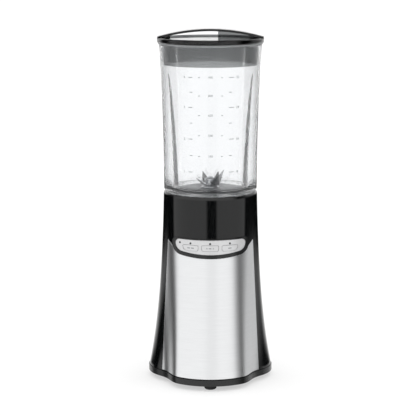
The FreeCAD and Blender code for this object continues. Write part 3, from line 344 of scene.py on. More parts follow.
def bump(tree, shader, height, depth, strength=1.0):
    """Gives the shader a bump whose full height is the depth in millimetres."""
    links = {"Height": height, "Distance": depth * MM, "Strength": strength}
    drive(shader, "Normal", add(tree, "ShaderNodeBump", links).outputs[0])


def math_node(tree, operation, first, second=0.0, **settings):
    """One step of arithmetic."""
    links = {0: first, 1: second}
    return add(tree, "ShaderNodeMath", links, operation=operation, **settings).outputs[0]


def plain(name, hex_code, grain, depth, rough, swing=0.06, shade=0.8, metal=0.0):
    """A finish that varies only by a fine grain: in its colour, its roughness and its height."""
    colour = linear(hex_code)
    made, tree, shader = finish(name, colour, metallic=metal)
    pattern = noise(tree, grain, 4.0)
    drive(shader, "Base Color", tint(tree, spread(tree, pattern), colour, shade))
    drive(shader, "Roughness", spread(tree, pattern, rough - swing, rough + swing))
    bump(tree, shader, pattern, depth)
    return made


# ------------------------------------------------------------------------------ materials
def gloss_abs():
    """Black ABS from a polished mould: deep gloss, with the slow waviness that a thick moulding
    keeps, and hair scratches from wiping that only show in its shine."""
    colour = tuple(bpy.context.scene.kitchen_colours.shell)
    made, tree, shader = finish("polished black ABS", colour, roughness=0.08, ior=1.53)
    waves = noise(tree, 38.0, 1.0)
    wiped = noise(tree, 1.1, 3.0, place(tree, (1, 1, 0.18)))
    rough = spread(tree, wiped, 0.05, 0.12, 0.35, 0.75)
    drive(shader, "Roughness", rough)
    cloud = spread(tree, noise(tree, 14.0, 3.0))
    drive(shader, "Base Color", tint(tree, cloud, colour, 0.82))
    bump(tree, shader, waves, 0.05, 0.6)
    return made


def etched_abs():
    """Black ABS from a spark-etched mould: a matt, pebbled skin. The pebbles are about 0.3 mm and
    are drawn at 0.9 mm, because finer ones can't show."""
    colour = linear("#17181A")
    made, tree, shader = finish("etched black ABS", colour, roughness=0.5, ior=1.53)
    pebbles = noise(tree, 0.9, 3.0)
    drive(shader, "Base Color", tint(tree, spread(tree, pebbles), colour, 0.6))
    drive(shader, "Roughness", spread(tree, pebbles, 0.4, 0.58))
    bump(tree, shader, pebbles, 0.05)
    return made


def satin_abs():
    """Black ABS with a satin skin: the low rim round the foot."""
    colour = linear("#101112")
    made, tree, shader = finish("satin black ABS", colour, roughness=0.28, ior=1.53)
    grain = noise(tree, 0.7, 2.0)
    drive(shader, "Roughness", spread(tree, grain, 0.22, 0.34))
    drive(shader, "Base Color", tint(tree, spread(tree, grain), colour, 0.7))
    bump(tree, shader, grain, 0.02)
    return made


def brushed_stainless():
    """Stainless sheet brushed level round the body: hair lines along its girth, which spread the
    shine up and down and leave upright bands of light and shade. The lines are about 0.1 mm apart
    and are drawn 0.5 mm apart, because finer ones can't show."""
    colour = tuple(bpy.context.scene.kitchen_colours.steel)
    made, tree, shader = finish(
        "brushed stainless steel",
        colour,
        metallic=1.0,
        anisotropic=0.8,
        anisotropic_rotation=0.25,
    )
    axes = add(tree, "ShaderNodeSeparateXYZ", {0: place(tree)}).outputs
    turn = math_node(tree, "ARCTAN2", axes[0], math_node(tree, "MULTIPLY", axes[1], -1.0))
    # The way round the body is the angle from the front times its radius at the top.
    girth = math_node(tree, "MULTIPLY", turn, bpy.context.scene.kitchen_sizes.top_radius)
    flat = add(tree, "ShaderNodeCombineXYZ", {0: girth, 2: axes[2]}).outputs[0]
    hair = add(tree, "ShaderNodeMapping", {"Vector": flat, "Scale": (0.03, 1, 1)}).outputs[0]
    lines = math_node(tree, "MULTIPLY", noise(tree, 0.5, 5.0, hair), 0.65)
    bands = math_node(tree, "MULTIPLY", noise(tree, 2.4, 3.0, hair), 0.35)
    both = math_node(tree, "ADD", lines, bands)
    drive(shader, "Base Color", tint(tree, spread(tree, both), colour, 0.93))
    drive(shader, "Roughness", spread(tree, both, 0.31, 0.37))
    tangent = add(tree, "ShaderNodeTangent", direction_type="RADIAL", axis="Z").outputs[0]
    drive(shader, "Tangent", tangent)
    bump(tree, shader, both, 0.005, 0.4)
    return made


def satin_silver():
    """ABS sprayed satin silver: a smooth light grey with very fine metal flake under a thin clear
    coat. The flake is drawn at 0.6 mm, because the real one can't show."""
    colour = tuple(bpy.context.scene.kitchen_colours.silver)
    made, tree, shader = finish(
        "satin silver paint",
        colour,
        metallic=0.35,
        coat_weight=0.3,
        coat_roughness=0.12,
    )
    links = {"Vector": place(tree), "Scale": 1 / (0.6 * MM)}
    flake = add(tree, "ShaderNodeTexVoronoi", links).outputs["Distance"]
    drive(shader, "Base Color", tint(tree, spread(tree, flake, 0, 1, 0.0, 0.8), colour, 0.9))
    drive(shader, "Roughness", spread(tree, noise(tree, 3.0), 0.3, 0.38))
    bump(tree, shader, flake, 0.004)
    return made


def clear_copolyester():
    """Clear injection-moulded copolyester: bright and colourless face on, with painted shade
    where a wall is seen edge on, its colour there mixed to grey, and the faint flow waves of the
    moulding."""
    colours = bpy.context.scene.kitchen_colours
    clear, edge = tuple(colours.clear), tuple(colours.edge)
    made, tree, shader = finish(
        "clear copolyester",
        clear,
        roughness=0.015,
        ior=1.45,
        transmission_weight=1.0,
        alpha=0.86,
    )
    # Painted shade: towards edge on, the base colour is mixed from clear to the grey edge colour,
    # standing in for the dark edges that refraction gives.
    rim = add(tree, "ShaderNodeLayerWeight", {"Blend": 0.22}).outputs["Facing"]
    links = {0: spread(tree, rim, 0, 1, 0.25, 0.9), 6: (*clear, 1), 7: (*edge, 1)}
    seen = add(tree, "ShaderNodeMix", links, data_type="RGBA").outputs[2]
    drive(shader, "Base Color", seen)
    bump(tree, shader, noise(tree, 30.0, 1.0), 0.02, 0.08)
    return made


def smoky_copolyester():
    """The same plastic with a smoke tint through its whole thickness, so that a thin wall greys
    what is behind it and a thick one is almost black."""
    colour = tuple(bpy.context.scene.kitchen_colours.smoke)
    skin = (0.9, 0.9, 0.9)
    made, tree, shader = finish(
        "smoky copolyester",
        skin,
        roughness=0.06,
        ior=1.45,
        transmission_weight=1.0,
        specular_ior_level=0.3,
    )
    cloud = noise(tree, 9.0, 3.0)
    drive(shader, "Base Color", tint(tree, spread(tree, cloud), skin, 0.94))
    drive(shader, "Roughness", spread(tree, cloud, 0.04, 0.1))
    smoke = add(tree, "ShaderNodeVolumeAbsorption", {"Color": (*colour, 1), "Density": 820})
    tree.links.new(smoke.outputs[0], tree.nodes["Material Output"].inputs["Volume"])
    return made


def pad_print_ink():
    """Pad-printed ink: a thin, slightly broken grey film."""
    colour = tuple(bpy.context.scene.kitchen_colours.ink)
    made, tree, shader = finish("pad print ink", colour, roughness=0.55)
    worn = noise(tree, 1.4, 4.0)
    drive(shader, "Base Color", tint(tree, spread(tree, worn, 0, 1, 0.5, 0.75), colour, 1.6))
    return made


def moulded_rubber():
    """Moulded black rubber: matt, with a chalky bloom that lightens it in patches."""
    colour = tuple(bpy.context.scene.kitchen_colours.rubber)
    made, tree, shader = finish("moulded rubber", colour, roughness=0.75)
    bloom = noise(tree, 2.6, 5.0)
    drive(shader, "Base Color", tint(tree, spread(tree, bloom, 0, 1, 0.45, 0.8), colour, 1.9))
    drive(shader, "Roughness", spread(tree, bloom, 0.65, 0.85))
    bump(tree, shader, bloom, 0.04)
    return made


def polished_stainless():
    """Stainless blades and hub, ground and then polished: bright, with faint grinding lines
    0.2 mm apart, drawn at 0.4 mm."""
    colour = linear("#DCDDDF")
    made, tree, shader = finish("polished stainless steel", colour, metallic=1.0, roughness=0.16)
    lines = noise(tree, 0.4, 3.0, place(tree, (1, 0.08, 1)))
    drive(shader, "Base Color", tint(tree, spread(tree, lines), colour, 0.8))
    drive(shader, "Roughness", spread(tree, lines, 0.07, 0.16))
    bump(tree, shader, lines, 0.006)
    return made


def enamelled_wire():
    """Varnished copper wire in close turns. They are about 0.6 mm apart and are drawn 1.8 mm
    apart."""
    colour = linear("#B4572A")
    made, tree, shader = finish(
        "enamelled copper wire",
        colour,
        metallic=0.8,
        roughness=0.3,
        coat_weight=0.5,
    )
    wires = ridges(tree, 1.7765, 1.5)
    drive(shader, "Base Color", tint(tree, wires, colour, 0.45))
    bump(tree, shader, wires, 0.2)
    return made


def stacked_steel():
    """Electrical steel sheets 0.5 mm thick, stacked and varnished, drawn 2 mm apart."""
    colour = linear("#6B6D70")
    made, tree, shader = finish("stacked electrical steel", colour, metallic=0.85, roughness=0.45)
    sheets = ridges(tree, 1.9739)
    drive(shader, "Base Color", tint(tree, sheets, colour, 0.6))
    bump(tree, shader, sheets, 0.06)
    return made


def solder_resist():
    """A green circuit board: thin copper tracks show as lighter lines under the resist."""
    colour = linear("#14532B")
    made, tree, shader = finish("solder resist board", colour, roughness=0.3)
    black, white = (0, 0, 0, 1), (1, 1, 1, 1)
    links = {
        "Vector": place(tree),
        "Scale": 1 / (6.0 * MM),
        "Mortar Size": 0.03,
        "Color1": black,
        "Color2": black,
        "Mortar": white,
    }
    tracks = add(tree, "ShaderNodeTexBrick", links).outputs[0]
    drive(shader, "Base Color", tint(tree, tracks, colour, 2.2))
    bump(tree, shader, tracks, 0.03)
    return made


FINISHES = {}


def make_finishes():
    """Every material, by the slot it dresses."""
    FINISHES.update(
        black_gloss=gloss_abs(),
        black_matte=etched_abs(),
        satin=satin_abs(),
        brushed_panel=brushed_stainless(),
        silver_paint=satin_silver(),
        clear_plastic=clear_copolyester(),
        smoke_plastic=smoky_copolyester(),
        ink=pad_print_ink(),
        black_rubber=moulded_rubber(),
        blade_steel=polished_stainless(),
        copper_wire=enamelled_wire(),
        core_steel=stacked_steel(),
        circuit_board=solder_resist(),
        # Soft grey silicone: its grain is a fine mould texture.
        grey_rubber=plain("moulded silicone", "#8A8C8D", 1.2, 0.02, 0.5),
        # Smoked acrylic lamp lenses: almost black when off.
        lamp_lens=plain("smoked acrylic lens", "#2A2C2F", 2.0, 0.004, 0.12, 0.04),
        # Ground bearing steel: bright, with a fine cross grain.
        bearing_steel=plain("ground bearing steel", "#B9BABD", 0.5, 0.006, 0.22, 0.06, 0.85, 1.0),
        # Zinc-plated fastenings: a cool grey with cloudy patches.
        zinc_steel=plain("zinc plated steel", "#A9ABAE", 1.6, 0.01, 0.36, 0.08, 0.75, 1.0),
        # Die-cast aluminium: dull, with a sandy skin.
        cast_bracket=plain("die cast aluminium", "#9C9EA0", 0.8, 0.03, 0.5, 0.08, 0.8, 1.0),
        # Drawn brass sheet.
        brass_sheet=plain("drawn brass", "#B8923F", 1.0, 0.006, 0.3, 0.06, 0.85, 1.0),
        # Pressed carbon: matt and crumbly.
        carbon=plain("pressed carbon", "#1C1C1D", 0.6, 0.03, 0.65, 0.08, 0.6),
        # Satin glass-filled nylon, dark grey, of the collar under the blades.
        collar_plastic=plain("glass filled nylon", "#5A5D60", 0.8, 0.015, 0.3, 0.05, 0.75),
        # Natural acetal: milky white and slippery.
        white_plastic=plain("natural acetal", "#DAD9D2", 1.5, 0.008, 0.35, 0.05, 0.94),
    )


# ------------------------------------------------------------------------------ the base's form
def hump(angle, middle, half_width):
    """1 at the middle angle and 0 past the half width, by a squared cosine, in degrees."""
    away = np.minimum(np.abs(angle - middle) / half_width, 1)
    return np.cos(np.pi / 2 * away) ** 2


def top_of(node):
    """The height of a node's top."""
    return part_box(node)[1].z


def base_reach(around, height):
    """The base's radius, in metres, at an angle from the front in radians and a height. It is
    round at the top. With the share of the drop from the top, the front swells by its square, two
    lobes at the rear corners by a sum of it and its fourth power, and the flanks between pull in
    by its square."""
    sizes = bpy.context.scene.kitchen_sizes
    lobe_at, lobe_half, lobe_early, lobe_late = 115, 48, 0.6, 0.4
    waist_at, waist_half = 62, 26
    top = top_of("main_housing")
    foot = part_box("main_housing")[0].z
    drop = np.clip((top - height) / (top - foot), 0, 1.05)
    away = np.degrees(np.abs((around + np.pi) % (2 * np.pi) - np.pi))
    swell = sizes.lobe_flare * (lobe_early * drop + lobe_late * drop**4)
    lobe = swell * hump(away, lobe_at, lobe_half)
    waist = sizes.waist * drop**2 * hump(away, waist_at, waist_half)
    return sizes.top_radius + sizes.front_flare * drop**2 + lobe - waist


def wrapped_points(reach, around, height):
    """Points at radii, angles from the front and heights. x is the radius times the angle's sine
    and y minus the radius times its cosine."""
    level = np.broadcast_to(height, reach.shape)
    return np.stack([reach * np.sin(around), -reach * np.cos(around), level], -1)


def on_base(around, height, proud):
    """Points at angles from the front and heights, a distance proud of the base's form."""
    return wrapped_points(base_reach(around, height) + proud, around, height)


def angle_at(x, height):
    """The angle from the front at which the base's form is x to the side, by halving the range
    from straight ahead to almost sideways forty times."""
    almost_sideways, halvings = 1.5, 40
    near, far = np.zeros(x.shape), np.full(x.shape, almost_sideways)
    for _ in range(halvings):
        middle = (near + far) / 2
        beyond = base_reach(middle, height) * np.sin(middle) > np.abs(x)
        near, far = np.where(beyond, near, middle), np.where(beyond, middle, far)
    return np.sign(x) * near


class KITCHEN_OT_housing(bpy.types.Operator):
    """Draw the tall black housing."""

    bl_idname = "kitchen.housing"
    bl_label = "Housing"

    def execute(self, context):
        sizes = context.scene.kitchen_sizes
        wall, seat_wall = sizes.wall, 2.0 * MM
        low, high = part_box("main_housing")[0].z, top_of("main_housing")
        # The top reaches in over the seat's wall, and leaves its mouth open.
        mouth = sizes.top_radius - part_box("jug_seat")[1].x + seat_wall
        # Each corner is a height and how far it lies inside the base's form.
        corners = [
            (low, wall),
            (low, 0),
            (high, 0),
            (high, mouth),
            (high - wall, mouth),
            (high - wall, wall),
        ]
        radii = np.array([0.5, 0.5, 1.6, 0.8, 0.4, 0.4]) * MM
        outline = divided(rounded(corners, radii), 3.2 * MM)
        around = np.linspace(-np.pi, np.pi, 360, endpoint=False)[:, None]
        points = on_base(around, outline[None, :, 0], -outline[None, :, 1])
        mesh = facing_out(surface("housing", points, True, True))
        piece("housing", mesh, FINISHES["black_gloss"], "base", ["main_housing"])
        return {"FINISHED"}


# ------------------------------------------------------------------------------ the steel front
class KITCHEN_OT_steel_front(bpy.types.Operator):
    """Draw the brushed steel wrap on the front of the base."""

    bl_idname = "kitchen.steel_front"
    bl_label = "Steel front"

    def execute(self, context):
        side_foot, side_top = 52.6 * MM, 45.4 * MM
        corner_height, corner_fall = 158.6 * MM, 6.2 * MM
        gauge, edge_round, proud_of_base = 0.5 * MM, 0.5 * MM, 0.14 * MM
        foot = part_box("steel_panel")[0].z + 0.3 * MM
        bezel_low, bezel_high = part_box("control_bezel")
        dip = bezel_low.z + 1.6 * MM
        bezel_side = bezel_high.x - 1.2 * MM
        # Columns crowd towards the sides, and rows towards both ends, where the edges turn in.
        across = np.sin(np.linspace(-1, 1, 121) * np.pi / 2)[:, None]
        up = (0.5 - 0.5 * np.cos(np.linspace(0, 1, 101) * np.pi))[None, :]
        # The upper edge falls from the outer corners to the bezel, and runs on hidden behind it,
        # where it is as good as flat until it climbs with the sixth power near the bezel's ends.
        x_top = np.abs(across * side_top)
        rise = np.clip((x_top - bezel_side) / (side_top - bezel_side), 0, 1)
        shoulder = corner_height - corner_fall * (1 - rise)
        climb = (corner_height - corner_fall - dip) * (x_top / bezel_side).clip(0, 1) ** 6
        top = np.where(x_top < bezel_side, dip + climb, shoulder)
        height = foot + (top - foot) * up
        side = side_foot + (side_top - side_foot) * (height - foot) / (corner_height - foot)
        x = across * side
        # Near its edges the sheet turns in by the square of the nearness.
        nearest = np.minimum.reduce([(1 - np.abs(across)) * side, height - foot, top - height])
        edge = np.clip(nearest / edge_round, 0, 1)
        proud = proud_of_base - edge_round * (1 - edge) ** 2
        mesh = surface("steel_front", on_base(angle_at(x, height), height, proud))
        made = piece("steel_front", mesh, FINISHES["brushed_panel"], "base", ["steel_panel"])
        modifier(made, "SOLIDIFY", thickness=gauge, offset=-1)
        return {"FINISHED"}


# ------------------------------------------------------------------------------ control panel
class KITCHEN_OT_controls(bpy.types.Operator):
    """Finish the bezel, the silver panel, its three buttons and its lamps."""

    bl_idname = "kitchen.controls"
    bl_label = "Control panel"

    def execute(self, context):
        refined("control_bezel", FINISHES["black_gloss"], 0.7, 30)
        refined("control_fascia", FINISHES["silver_paint"], 0.3)
        for node in ("button_high", "button_pulse", "button_low"):
            refined(node, FINISHES["silver_paint"], 0.35)
        refined("indicator_lamps", FINISHES["lamp_lens"], 0.3)
        self.symbols()
        return {"FINISHED"}

    def symbols(self):
        """One long bar for slow, two short bars and a middling one for pulse and two bars for
        fast, each a thin raised pill whose outline is a rounded oblong wrapped on its button."""
        # Each button's body, and its bars as a distance from its middle and a width, in mm.
        layouts = {
            "button_high": ("left_button", [(-2.0, 3.0), (2.0, 3.0)]),
            "button_pulse": ("centre_button", [(-3.4, 1.2), (0.0, 2.6), (3.4, 1.2)]),
            "button_low": ("right_button", [(0.0, 3.6)]),
        }
        face, end_round = 52.1 * MM, 0.4 * MM
        turn = np.linspace(0, 2 * np.pi, 24, endpoint=False)[:, None]
        # From a bar's foot, sunk in the button, over its edge to the middle of its top.
        share = np.array([1.0, 1.0, 0.9, 0.0])[None, :]
        lift = np.array([-0.1, 0.06, 0.1, 0.1])[None, :] * MM
        for node, (body, bars) in layouts.items():
            low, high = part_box(node)
            middle = (low + high) / 2
            parts = []
            for offset, wide in bars:
                straight = np.sign(np.cos(turn)) * (wide * MM / 2 - end_round)
                x = middle.x + offset * MM + (straight + end_round * np.cos(turn)) * share
                y = -np.sqrt((face + lift) ** 2 - x**2)
                z = np.broadcast_to(middle.z + end_round * np.sin(turn) * share, x.shape)
                parts.append(surface("bar", np.stack([x, y, z], -1), True))
            name = "mark_on_" + node
            mesh = facing_out(merged(name, parts))
            piece(name, mesh, FINISHES["ink"], body)


# ------------------------------------------------------------------------------ the cup
CUP_FOOT = 49.6 * MM
CUP_MOUTH = 54.7 * MM
CUP_SIDE_LOW = 210.2 * MM
RIB_LOW = 211.0 * MM


def cup_reach(height):
    """The cup's outer radius. It is level near the foot, and widens by the square of the height
    above the place where the flare starts."""
    start = 215.0 * MM
    share = np.clip((height - start) / (top_of("cup") - start), 0, 1)
    return CUP_FOOT + (CUP_MOUTH - CUP_FOOT) * share**2


def rib_reach(around, height, inner):
    """How near the axis the cup's inner wall comes, with its three ribs. A rib is a ridge whose
    depth is 1 less the square of the distance off its middle over its half width, raised to
    1.35, so that its flanks leave the wall softly. With the share of the height that is left
    below the rib's tip, its depth shrinks by the power 0.7 and its half width by the square root,
    which gives it a rounded point."""
    sizes = bpy.context.scene.kitchen_sizes
    tip = 336.0 * MM
    share = np.clip((tip - height) / (tip - RIB_LOW), 0, 1)
    depth = sizes.rib_depth * share**0.7
    never_zero = 1e-6
    half = never_zero + sizes.rib_radius * 0.82 * share**0.5
    pull = np.zeros(np.broadcast_shapes(around.shape, height.shape))
    for heading in (-30, 90, 210):
        off = (around - math.radians(heading) + np.pi) % (2 * np.pi) - np.pi
        across = np.clip(np.abs(off) * inner / half, 0, 1)
        pull = pull + depth * (1 - across**2) ** 1.35
    return inner - pull


class KITCHEN_OT_cup(bpy.types.Operator):
    """Draw the clear cup with its ribs, neck and foot ring."""

    bl_idname = "kitchen.cup"
    bl_label = "Cup"

    def execute(self, context):
        wall = context.scene.kitchen_sizes.cup_wall
        low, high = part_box("cup")
        top = high.z
        mouth = cup_reach(np.array(top))
        neck_in, neck_out = 36.0 * MM, 38.8 * MM
        floor_under, floor_edge = 209.0 * MM, 211.0 * MM
        ring_in, ring_out = 45.2 * MM, 48.2 * MM
        ring_low, ring_top = top_of("main_housing") + 0.3 * MM, 208.4 * MM
        # The flare's two walls are straight here and bent by cup_reach and rib_reach below.
        corners = [
            (ring_out, ring_low),
            (ring_out, ring_top),
            (CUP_FOOT, CUP_SIDE_LOW),
            (mouth, top),
            (mouth - wall, top),
            (CUP_FOOT - wall, CUP_SIDE_LOW + 3.2 * MM),
            (neck_in, floor_edge),
            (neck_in, low.z),
            (neck_out, low.z),
            (neck_out, floor_under),
            (ring_in, floor_under),
            (ring_in, ring_low),
        ]
        radii = np.array([0.7, 0.5, 1.2, 1.3, 1.3, 3.5, 1.2, 0.7, 0.7, 0.4, 0.5, 0.7]) * MM
        outline = divided(rounded(corners, radii), 2.0 * MM)
        radius, height = outline[None, :, 0], outline[None, :, 1]
        around = np.linspace(0, 2 * np.pi, 300, endpoint=False)[:, None]
        # The wall bends by how far cup_reach lies from the straight chord of its flare.
        share = np.clip((height - CUP_SIDE_LOW) / (top - CUP_SIDE_LOW), 0, 1)
        chord = CUP_FOOT + (mouth - CUP_FOOT) * share
        flared = height > CUP_SIDE_LOW + 0.3 * MM
        bent = radius + np.where(flared, cup_reach(height) - chord, 0)
        # The ribs pull the inner face in, and fade out over the floor towards the neck.
        inside = (height > RIB_LOW) & (radius < chord - wall / 2)
        fade = np.clip((radius - neck_in - 2 * MM) / (6 * MM), 0, 1)
        inner = cup_reach(height) - wall
        pull = (inner - rib_reach(around, height, inner)) * fade
        reach = np.where(inside, bent - pull, bent)
        x, y = reach * np.cos(around), reach * np.sin(around)
        points = np.stack([x, y, np.broadcast_to(height, x.shape)], -1)
        mesh = facing_out(surface("clear_cup", points, True, True))
        piece("clear_cup", mesh, FINISHES["clear_plastic"], "jug", ["cup"])
        refined("cup_seal", FINISHES["grey_rubber"], 0.3)
        return {"FINISHED"}


# ------------------------------------------------------------------------------ volume marks
CUP_ML = 236.6
FULL_ML = CUP_ML * 4


def mark_heights(volumes):
    """The heights at which the cup holds given millilitres, by adding up the area inside its wall
    and ribs in thin slices from the full mark downwards."""
    full_height, floor_height = 332.4 * MM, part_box("cup")[0].z + 16 * MM
    millilitres_in_a_cubic_metre = 1e6
    wall = bpy.context.scene.kitchen_sizes.cup_wall
    levels = np.linspace(floor_height, full_height, 600)
    around = np.linspace(0, 2 * np.pi, 240, endpoint=False)[:, None]
    inner = rib_reach(around, levels[None, :], cup_reach(levels)[None, :] - wall)
    area = (np.pi * inner**2).mean(0)
    slices = np.diff(levels) * (area[1:] + area[:-1]) / 2 * millilitres_in_a_cubic_metre
    held = FULL_ML - np.concatenate([np.cumsum(slices[::-1])[::-1], [0]])
    return np.interp(volumes, held, levels)


def lettering(text, size):
    """A number's flat outline as a mesh, its middle on the origin."""
    curve = bpy.data.curves.new(text, "FONT")
    curve.body, curve.size, curve.align_x, curve.align_y = text, size, "CENTER", "CENTER"
    curve.resolution_u = 3
    holder = bpy.data.objects.new(text, curve)
    bpy.context.scene.collection.objects.link(holder)
    bpy.context.view_layer.update()
    shown = holder.evaluated_get(bpy.context.evaluated_depsgraph_get())
    mesh = bpy.data.meshes.new_from_object(shown)
    bpy.data.objects.remove(holder)
    bpy.data.curves.remove(curve)
    return mesh


def wrapped(mesh, x, height):
    """Moves a flat mesh to a place on the front of the cup, just off it, and bends it to the
    wall: its x is measured round the wall and its y up it."""
    lift = 0.06 * MM
    count = len(mesh.vertices)
    flat = np.zeros(count * 3)
    mesh.vertices.foreach_get("co", flat)
    flat = flat.reshape(-1, 3)
    level = flat[:, 1] + height
    turn = (flat[:, 0] + x) / cup_reach(np.full(count, height))
    bent = wrapped_points(cup_reach(level) + lift, turn, level)
    mesh.vertices.foreach_set("co", bent.astype(np.float32).ravel())
    mesh.update()
    return mesh


def stroke(wide, x, height):
    """A level line of a width, centred on a place on the cup."""
    thick = 0.55 * MM
    return wrapped(oblong("stroke", wide, thick, 7), x, height)


class KITCHEN_OT_volume_marks(bpy.types.Operator):
    """Print the volume marks on the cup."""

    bl_idname = "kitchen.volume_marks"
    bl_label = "Volume marks"

    def execute(self, context):
        size = context.scene.kitchen_sizes.mark_height
        jug_ml = 946.0
        parts = []
        # Cups on the left and fluid ounces on the right, each with its stroke nearer the middle.
        for step in range(1, 5):
            height = mark_heights(CUP_ML * step)
            parts.append(wrapped(lettering(str(step), size), -28.5 * MM, height))
            parts.append(stroke(4.6 * MM, -21.5 * MM, height))
            parts.append(stroke(5.6 * MM, 22.4 * MM, height))
            parts.append(wrapped(lettering(str(step * 8), size), 29.6 * MM, height))
            if step > 1:
                half = mark_heights(CUP_ML * (step - 0.5))
                parts.append(stroke(3.2 * MM, -20.8 * MM, half))
                parts.append(stroke(3.2 * MM, 21.2 * MM, half))
        # Millilitres in the middle, the top one rounded up from what the jug holds.
        for millilitres in (200, 350, 500, 650, 800, 950):
            height = mark_heights(min(millilitres, jug_ml))
            parts.append(wrapped(lettering(str(millilitres), size * 0.9), 0, height))
            for side in (-1, 1):
                parts.append(stroke(2.0 * MM, side * 12.0 * MM, height))
        mesh = merged("volume_marks", parts)
        made = piece("volume_marks", mesh, FINISHES["ink"], "jug")
        modifier(made, "SOLIDIFY", thickness=0.05 * MM, offset=-1)
        return {"FINISHED"}


# ------------------------------------------------------------------------------ the rest
class KITCHEN_OT_lid(bpy.types.Operator):
    """Finish the smoky lid and its gasket."""

    bl_idname = "kitchen.lid"
    bl_label = "Lid"

    def execute(self, context):
        refined("lid", FINISHES["smoke_plastic"], 0.5, 30)
        refined("lid_gasket", FINISHES["grey_rubber"], 0.2)
        return {"FINISHED"}


class KITCHEN_OT_blades(bpy.types.Operator):
    """Finish the blades, the hub and the collar that holds them."""

    bl_idname = "kitchen.blades"
    bl_label = "Blades and collar"

    def execute(self, context):
        edges = {
            "lower_blade": 0.12,
            "upper_blade": 0.12,
            "blade_washer": 0.1,
            "bearing_sleeve": 0.2,
            "blade_nut": 0.3,
        }
        for node, edge in edges.items():
            refined(node, FINISHES["blade_steel"], edge)
        refined("blade_collar", FINISHES["collar_plastic"], 0.35)
        refined("spindle_coupling", FINISHES["black_matte"], 0.5)
        return {"FINISHED"}


class KITCHEN_OT_seat(bpy.types.Operator):
    """Finish the jug's seat, the drive coupling in it and the interlock's plunger."""

    bl_idname = "kitchen.seat"
    bl_label = "Seat and drive"

    def execute(self, context):
        refined("jug_seat", FINISHES["black_matte"], 0.4)
        refined("drive_coupling", FINISHES["black_matte"], 0.5)
        refined("interlock_plunger", FINISHES["white_plastic"], 0.3)
        return {"FINISHED"}


class KITCHEN_OT_foot(bpy.types.Operator):
    """Finish the base plate, the feet, the screws and the cord's gland."""

    bl_idname = "kitchen.foot"
    bl_label = "Foot"

    def execute(self, context):
        refined("base_plate", FINISHES["satin"], 0.9, 30)
        for node in ("foot_front", "foot_rear_left", "foot_rear_right", "cord_gland"):
            refined(node, FINISHES["black_rubber"], 0.3)
        refined("plate_screws", FINISHES["zinc_steel"], 0.15)
        return {"FINISHED"}


class KITCHEN_OT_works(bpy.types.Operator):
    """Give every node that is still showing the finish of its own material."""

    bl_idname = "kitchen.works"
    bl_label = "Motor and works"

    def execute(self, context):
        for name, node in frame["nodes"].items():
            if node.hide_render:
                continue
            node.data.materials.clear()
            node.data.materials.append(FINISHES[SLOT_OF[name]])
        return {"FINISHED"}


# ------------------------------------------------------------------------------ stage
def window(tree, value, start, end, soft):
    """1 between two values and 0 outside, with soft ends."""
    rise = spread(tree, value, 0, 1, start - soft, start + soft)
    fall = spread(tree, value, 1, 0, end - soft, end + soft)
    return math_node(tree, "MULTIPLY", rise, fall)


def studio_world():
    """Even white light for everything dull, and for shiny surfaces a studio. A low belt of it
    holds two wide soft boxes with a gap between them at the front, and is dark elsewhere. Above
    and below the belt all is bright but for two dark flags at the sides, and a dimmer stretch
    behind the right one. Directions are in degrees: right of the front, and up."""
    world = bpy.data.worlds.new("studio")
    bpy.context.scene.world = world
    world.use_nodes = True
    tree = world.node_tree
    tree.nodes.clear()
    way = add(tree, "ShaderNodeTexCoord").outputs["Generated"]
    x, y, z = add(tree, "ShaderNodeSeparateXYZ", {0: way}).outputs
    turn = math_node(tree, "ARCTAN2", x, math_node(tree, "MULTIPLY", y, -1.0))
    azimuth = math_node(tree, "MULTIPLY", turn, 180 / math.pi)
    rise = math_node(tree, "MULTIPLY", math_node(tree, "ARCSINE", z), 180 / math.pi)
    belt = window(tree, rise, -11.0, -6.0, 0.8)
    left_box, right_box = window(tree, azimuth, -103, -9, 3), window(tree, azimuth, 15, 94, 3)
    left_flag, right_flag = window(tree, azimuth, -132, -100, 7), window(tree, azimuth, 62, 98, 8)
    boxes = math_node(tree, "ADD", left_box, right_box)
    flags = math_node(tree, "ADD", left_flag, right_flag)
    dimmed = math_node(tree, "MULTIPLY", window(tree, azimuth, 98, 140, 6), 0.35)
    shade = math_node(tree, "ADD", math_node(tree, "MULTIPLY", flags, 0.97), dimmed)
    around = math_node(tree, "SUBTRACT", 1.0, shade, use_clamp=True)
    low = math_node(tree, "MULTIPLY", belt, math_node(tree, "MULTIPLY", boxes, 0.72))
    high = math_node(tree, "MULTIPLY", math_node(tree, "SUBTRACT", 1.0, belt), around)
    seen = math_node(tree, "ADD", low, high)
    shine = add(tree, "ShaderNodeBackground", {"Color": seen, "Strength": 1.12})
    even = add(tree, "ShaderNodeBackground", {"Color": (1, 1, 1, 1), "Strength": 1.18})
    ray = add(tree, "ShaderNodeLightPath").outputs["Is Glossy Ray"]
    mix = add(tree, "ShaderNodeMixShader", {0: ray, 1: even.outputs[0], 2: shine.outputs[0]})
    add(tree, "ShaderNodeOutputWorld", {"Surface": mix.outputs[0]})


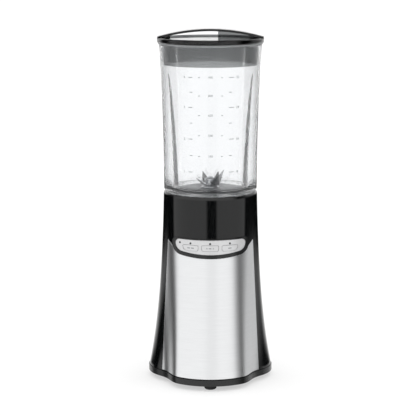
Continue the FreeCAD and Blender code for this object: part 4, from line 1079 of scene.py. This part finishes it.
class KITCHEN_OT_stage(bpy.types.Operator):
    """Set the pale floor, the studio light and the camera."""

    bl_idname = "kitchen.stage"
    bl_label = "Stage"

    def execute(self, context):
        studio_world()
        wide = 60.0
        floor = bpy.data.objects.new("floor", oblong("floor", wide, wide, 2))
        context.scene.collection.objects.link(floor)
        # A lit table: half of its white is its own light, so the object's shadow stays pale.
        table = finish(
            "lit white table",
            (0.5, 0.5, 0.5),
            roughness=1.0,
            specular_ior_level=0.0,
            emission_color=(1, 1, 1, 1),
            emission_strength=0.5,
        )[0]
        floor.data.materials.append(table)
        floor.visible_glossy = False
        context.scene.view_settings.view_transform = "Standard"
        self.camera(context)
        return {"FINISHED"}

    def camera(self, context):
        """A long lens a little above the jug's top, tilted down to the middle of the object."""
        camera = bpy.data.cameras.new("camera")
        camera.sensor_width, camera.lens, camera.clip_end = 36.0, 134.6, 200
        holder = bpy.data.objects.new("camera", camera)
        context.scene.collection.objects.link(holder)
        tilt = math.radians(9.57)
        holder.location = (-2.6 * MM, -1.65, 0.466)
        holder.rotation_euler = (math.pi / 2 - tilt, 0, 0)
        context.scene.camera = holder


class KITCHEN_PT_panel(bpy.types.Panel):
    """The blender's pieces, one button for each."""

    bl_idname = "KITCHEN_PT_panel"
    bl_label = "Countertop blender"
    bl_space_type = "VIEW_3D"
    bl_region_type = "UI"
    bl_category = "Kitchen"

    def draw(self, context):
        for operator in OPERATORS:
            self.layout.operator(operator.bl_idname)
        for group in (context.scene.kitchen_sizes, context.scene.kitchen_colours):
            for name in group.bl_rna.properties.keys():
                if name not in ("rna_type", "name"):
                    self.layout.prop(group, name)


OPERATORS = (
    KITCHEN_OT_stage,
    KITCHEN_OT_housing,
    KITCHEN_OT_steel_front,
    KITCHEN_OT_controls,
    KITCHEN_OT_cup,
    KITCHEN_OT_volume_marks,
    KITCHEN_OT_lid,
    KITCHEN_OT_blades,
    KITCHEN_OT_seat,
    KITCHEN_OT_foot,
    KITCHEN_OT_works,
)
CLASSES = (KitchenColours, KitchenSizes, *OPERATORS, KITCHEN_PT_panel)


def register():
    for kind in CLASSES:
        bpy.utils.register_class(kind)
    bpy.types.Scene.kitchen_colours = bpy.props.PointerProperty(type=KitchenColours)
    bpy.types.Scene.kitchen_sizes = bpy.props.PointerProperty(type=KitchenSizes)


def unregister():
    del bpy.types.Scene.kitchen_sizes
    del bpy.types.Scene.kitchen_colours
    for kind in reversed(CLASSES):
        bpy.utils.unregister_class(kind)


def main():
    register()
    make_finishes()
    for operator in OPERATORS:
        group, name = operator.bl_idname.split(".")
        getattr(getattr(bpy.ops, group), name)()
    bpy.context.view_layer.update()


if __name__ == "__main__":
    main()
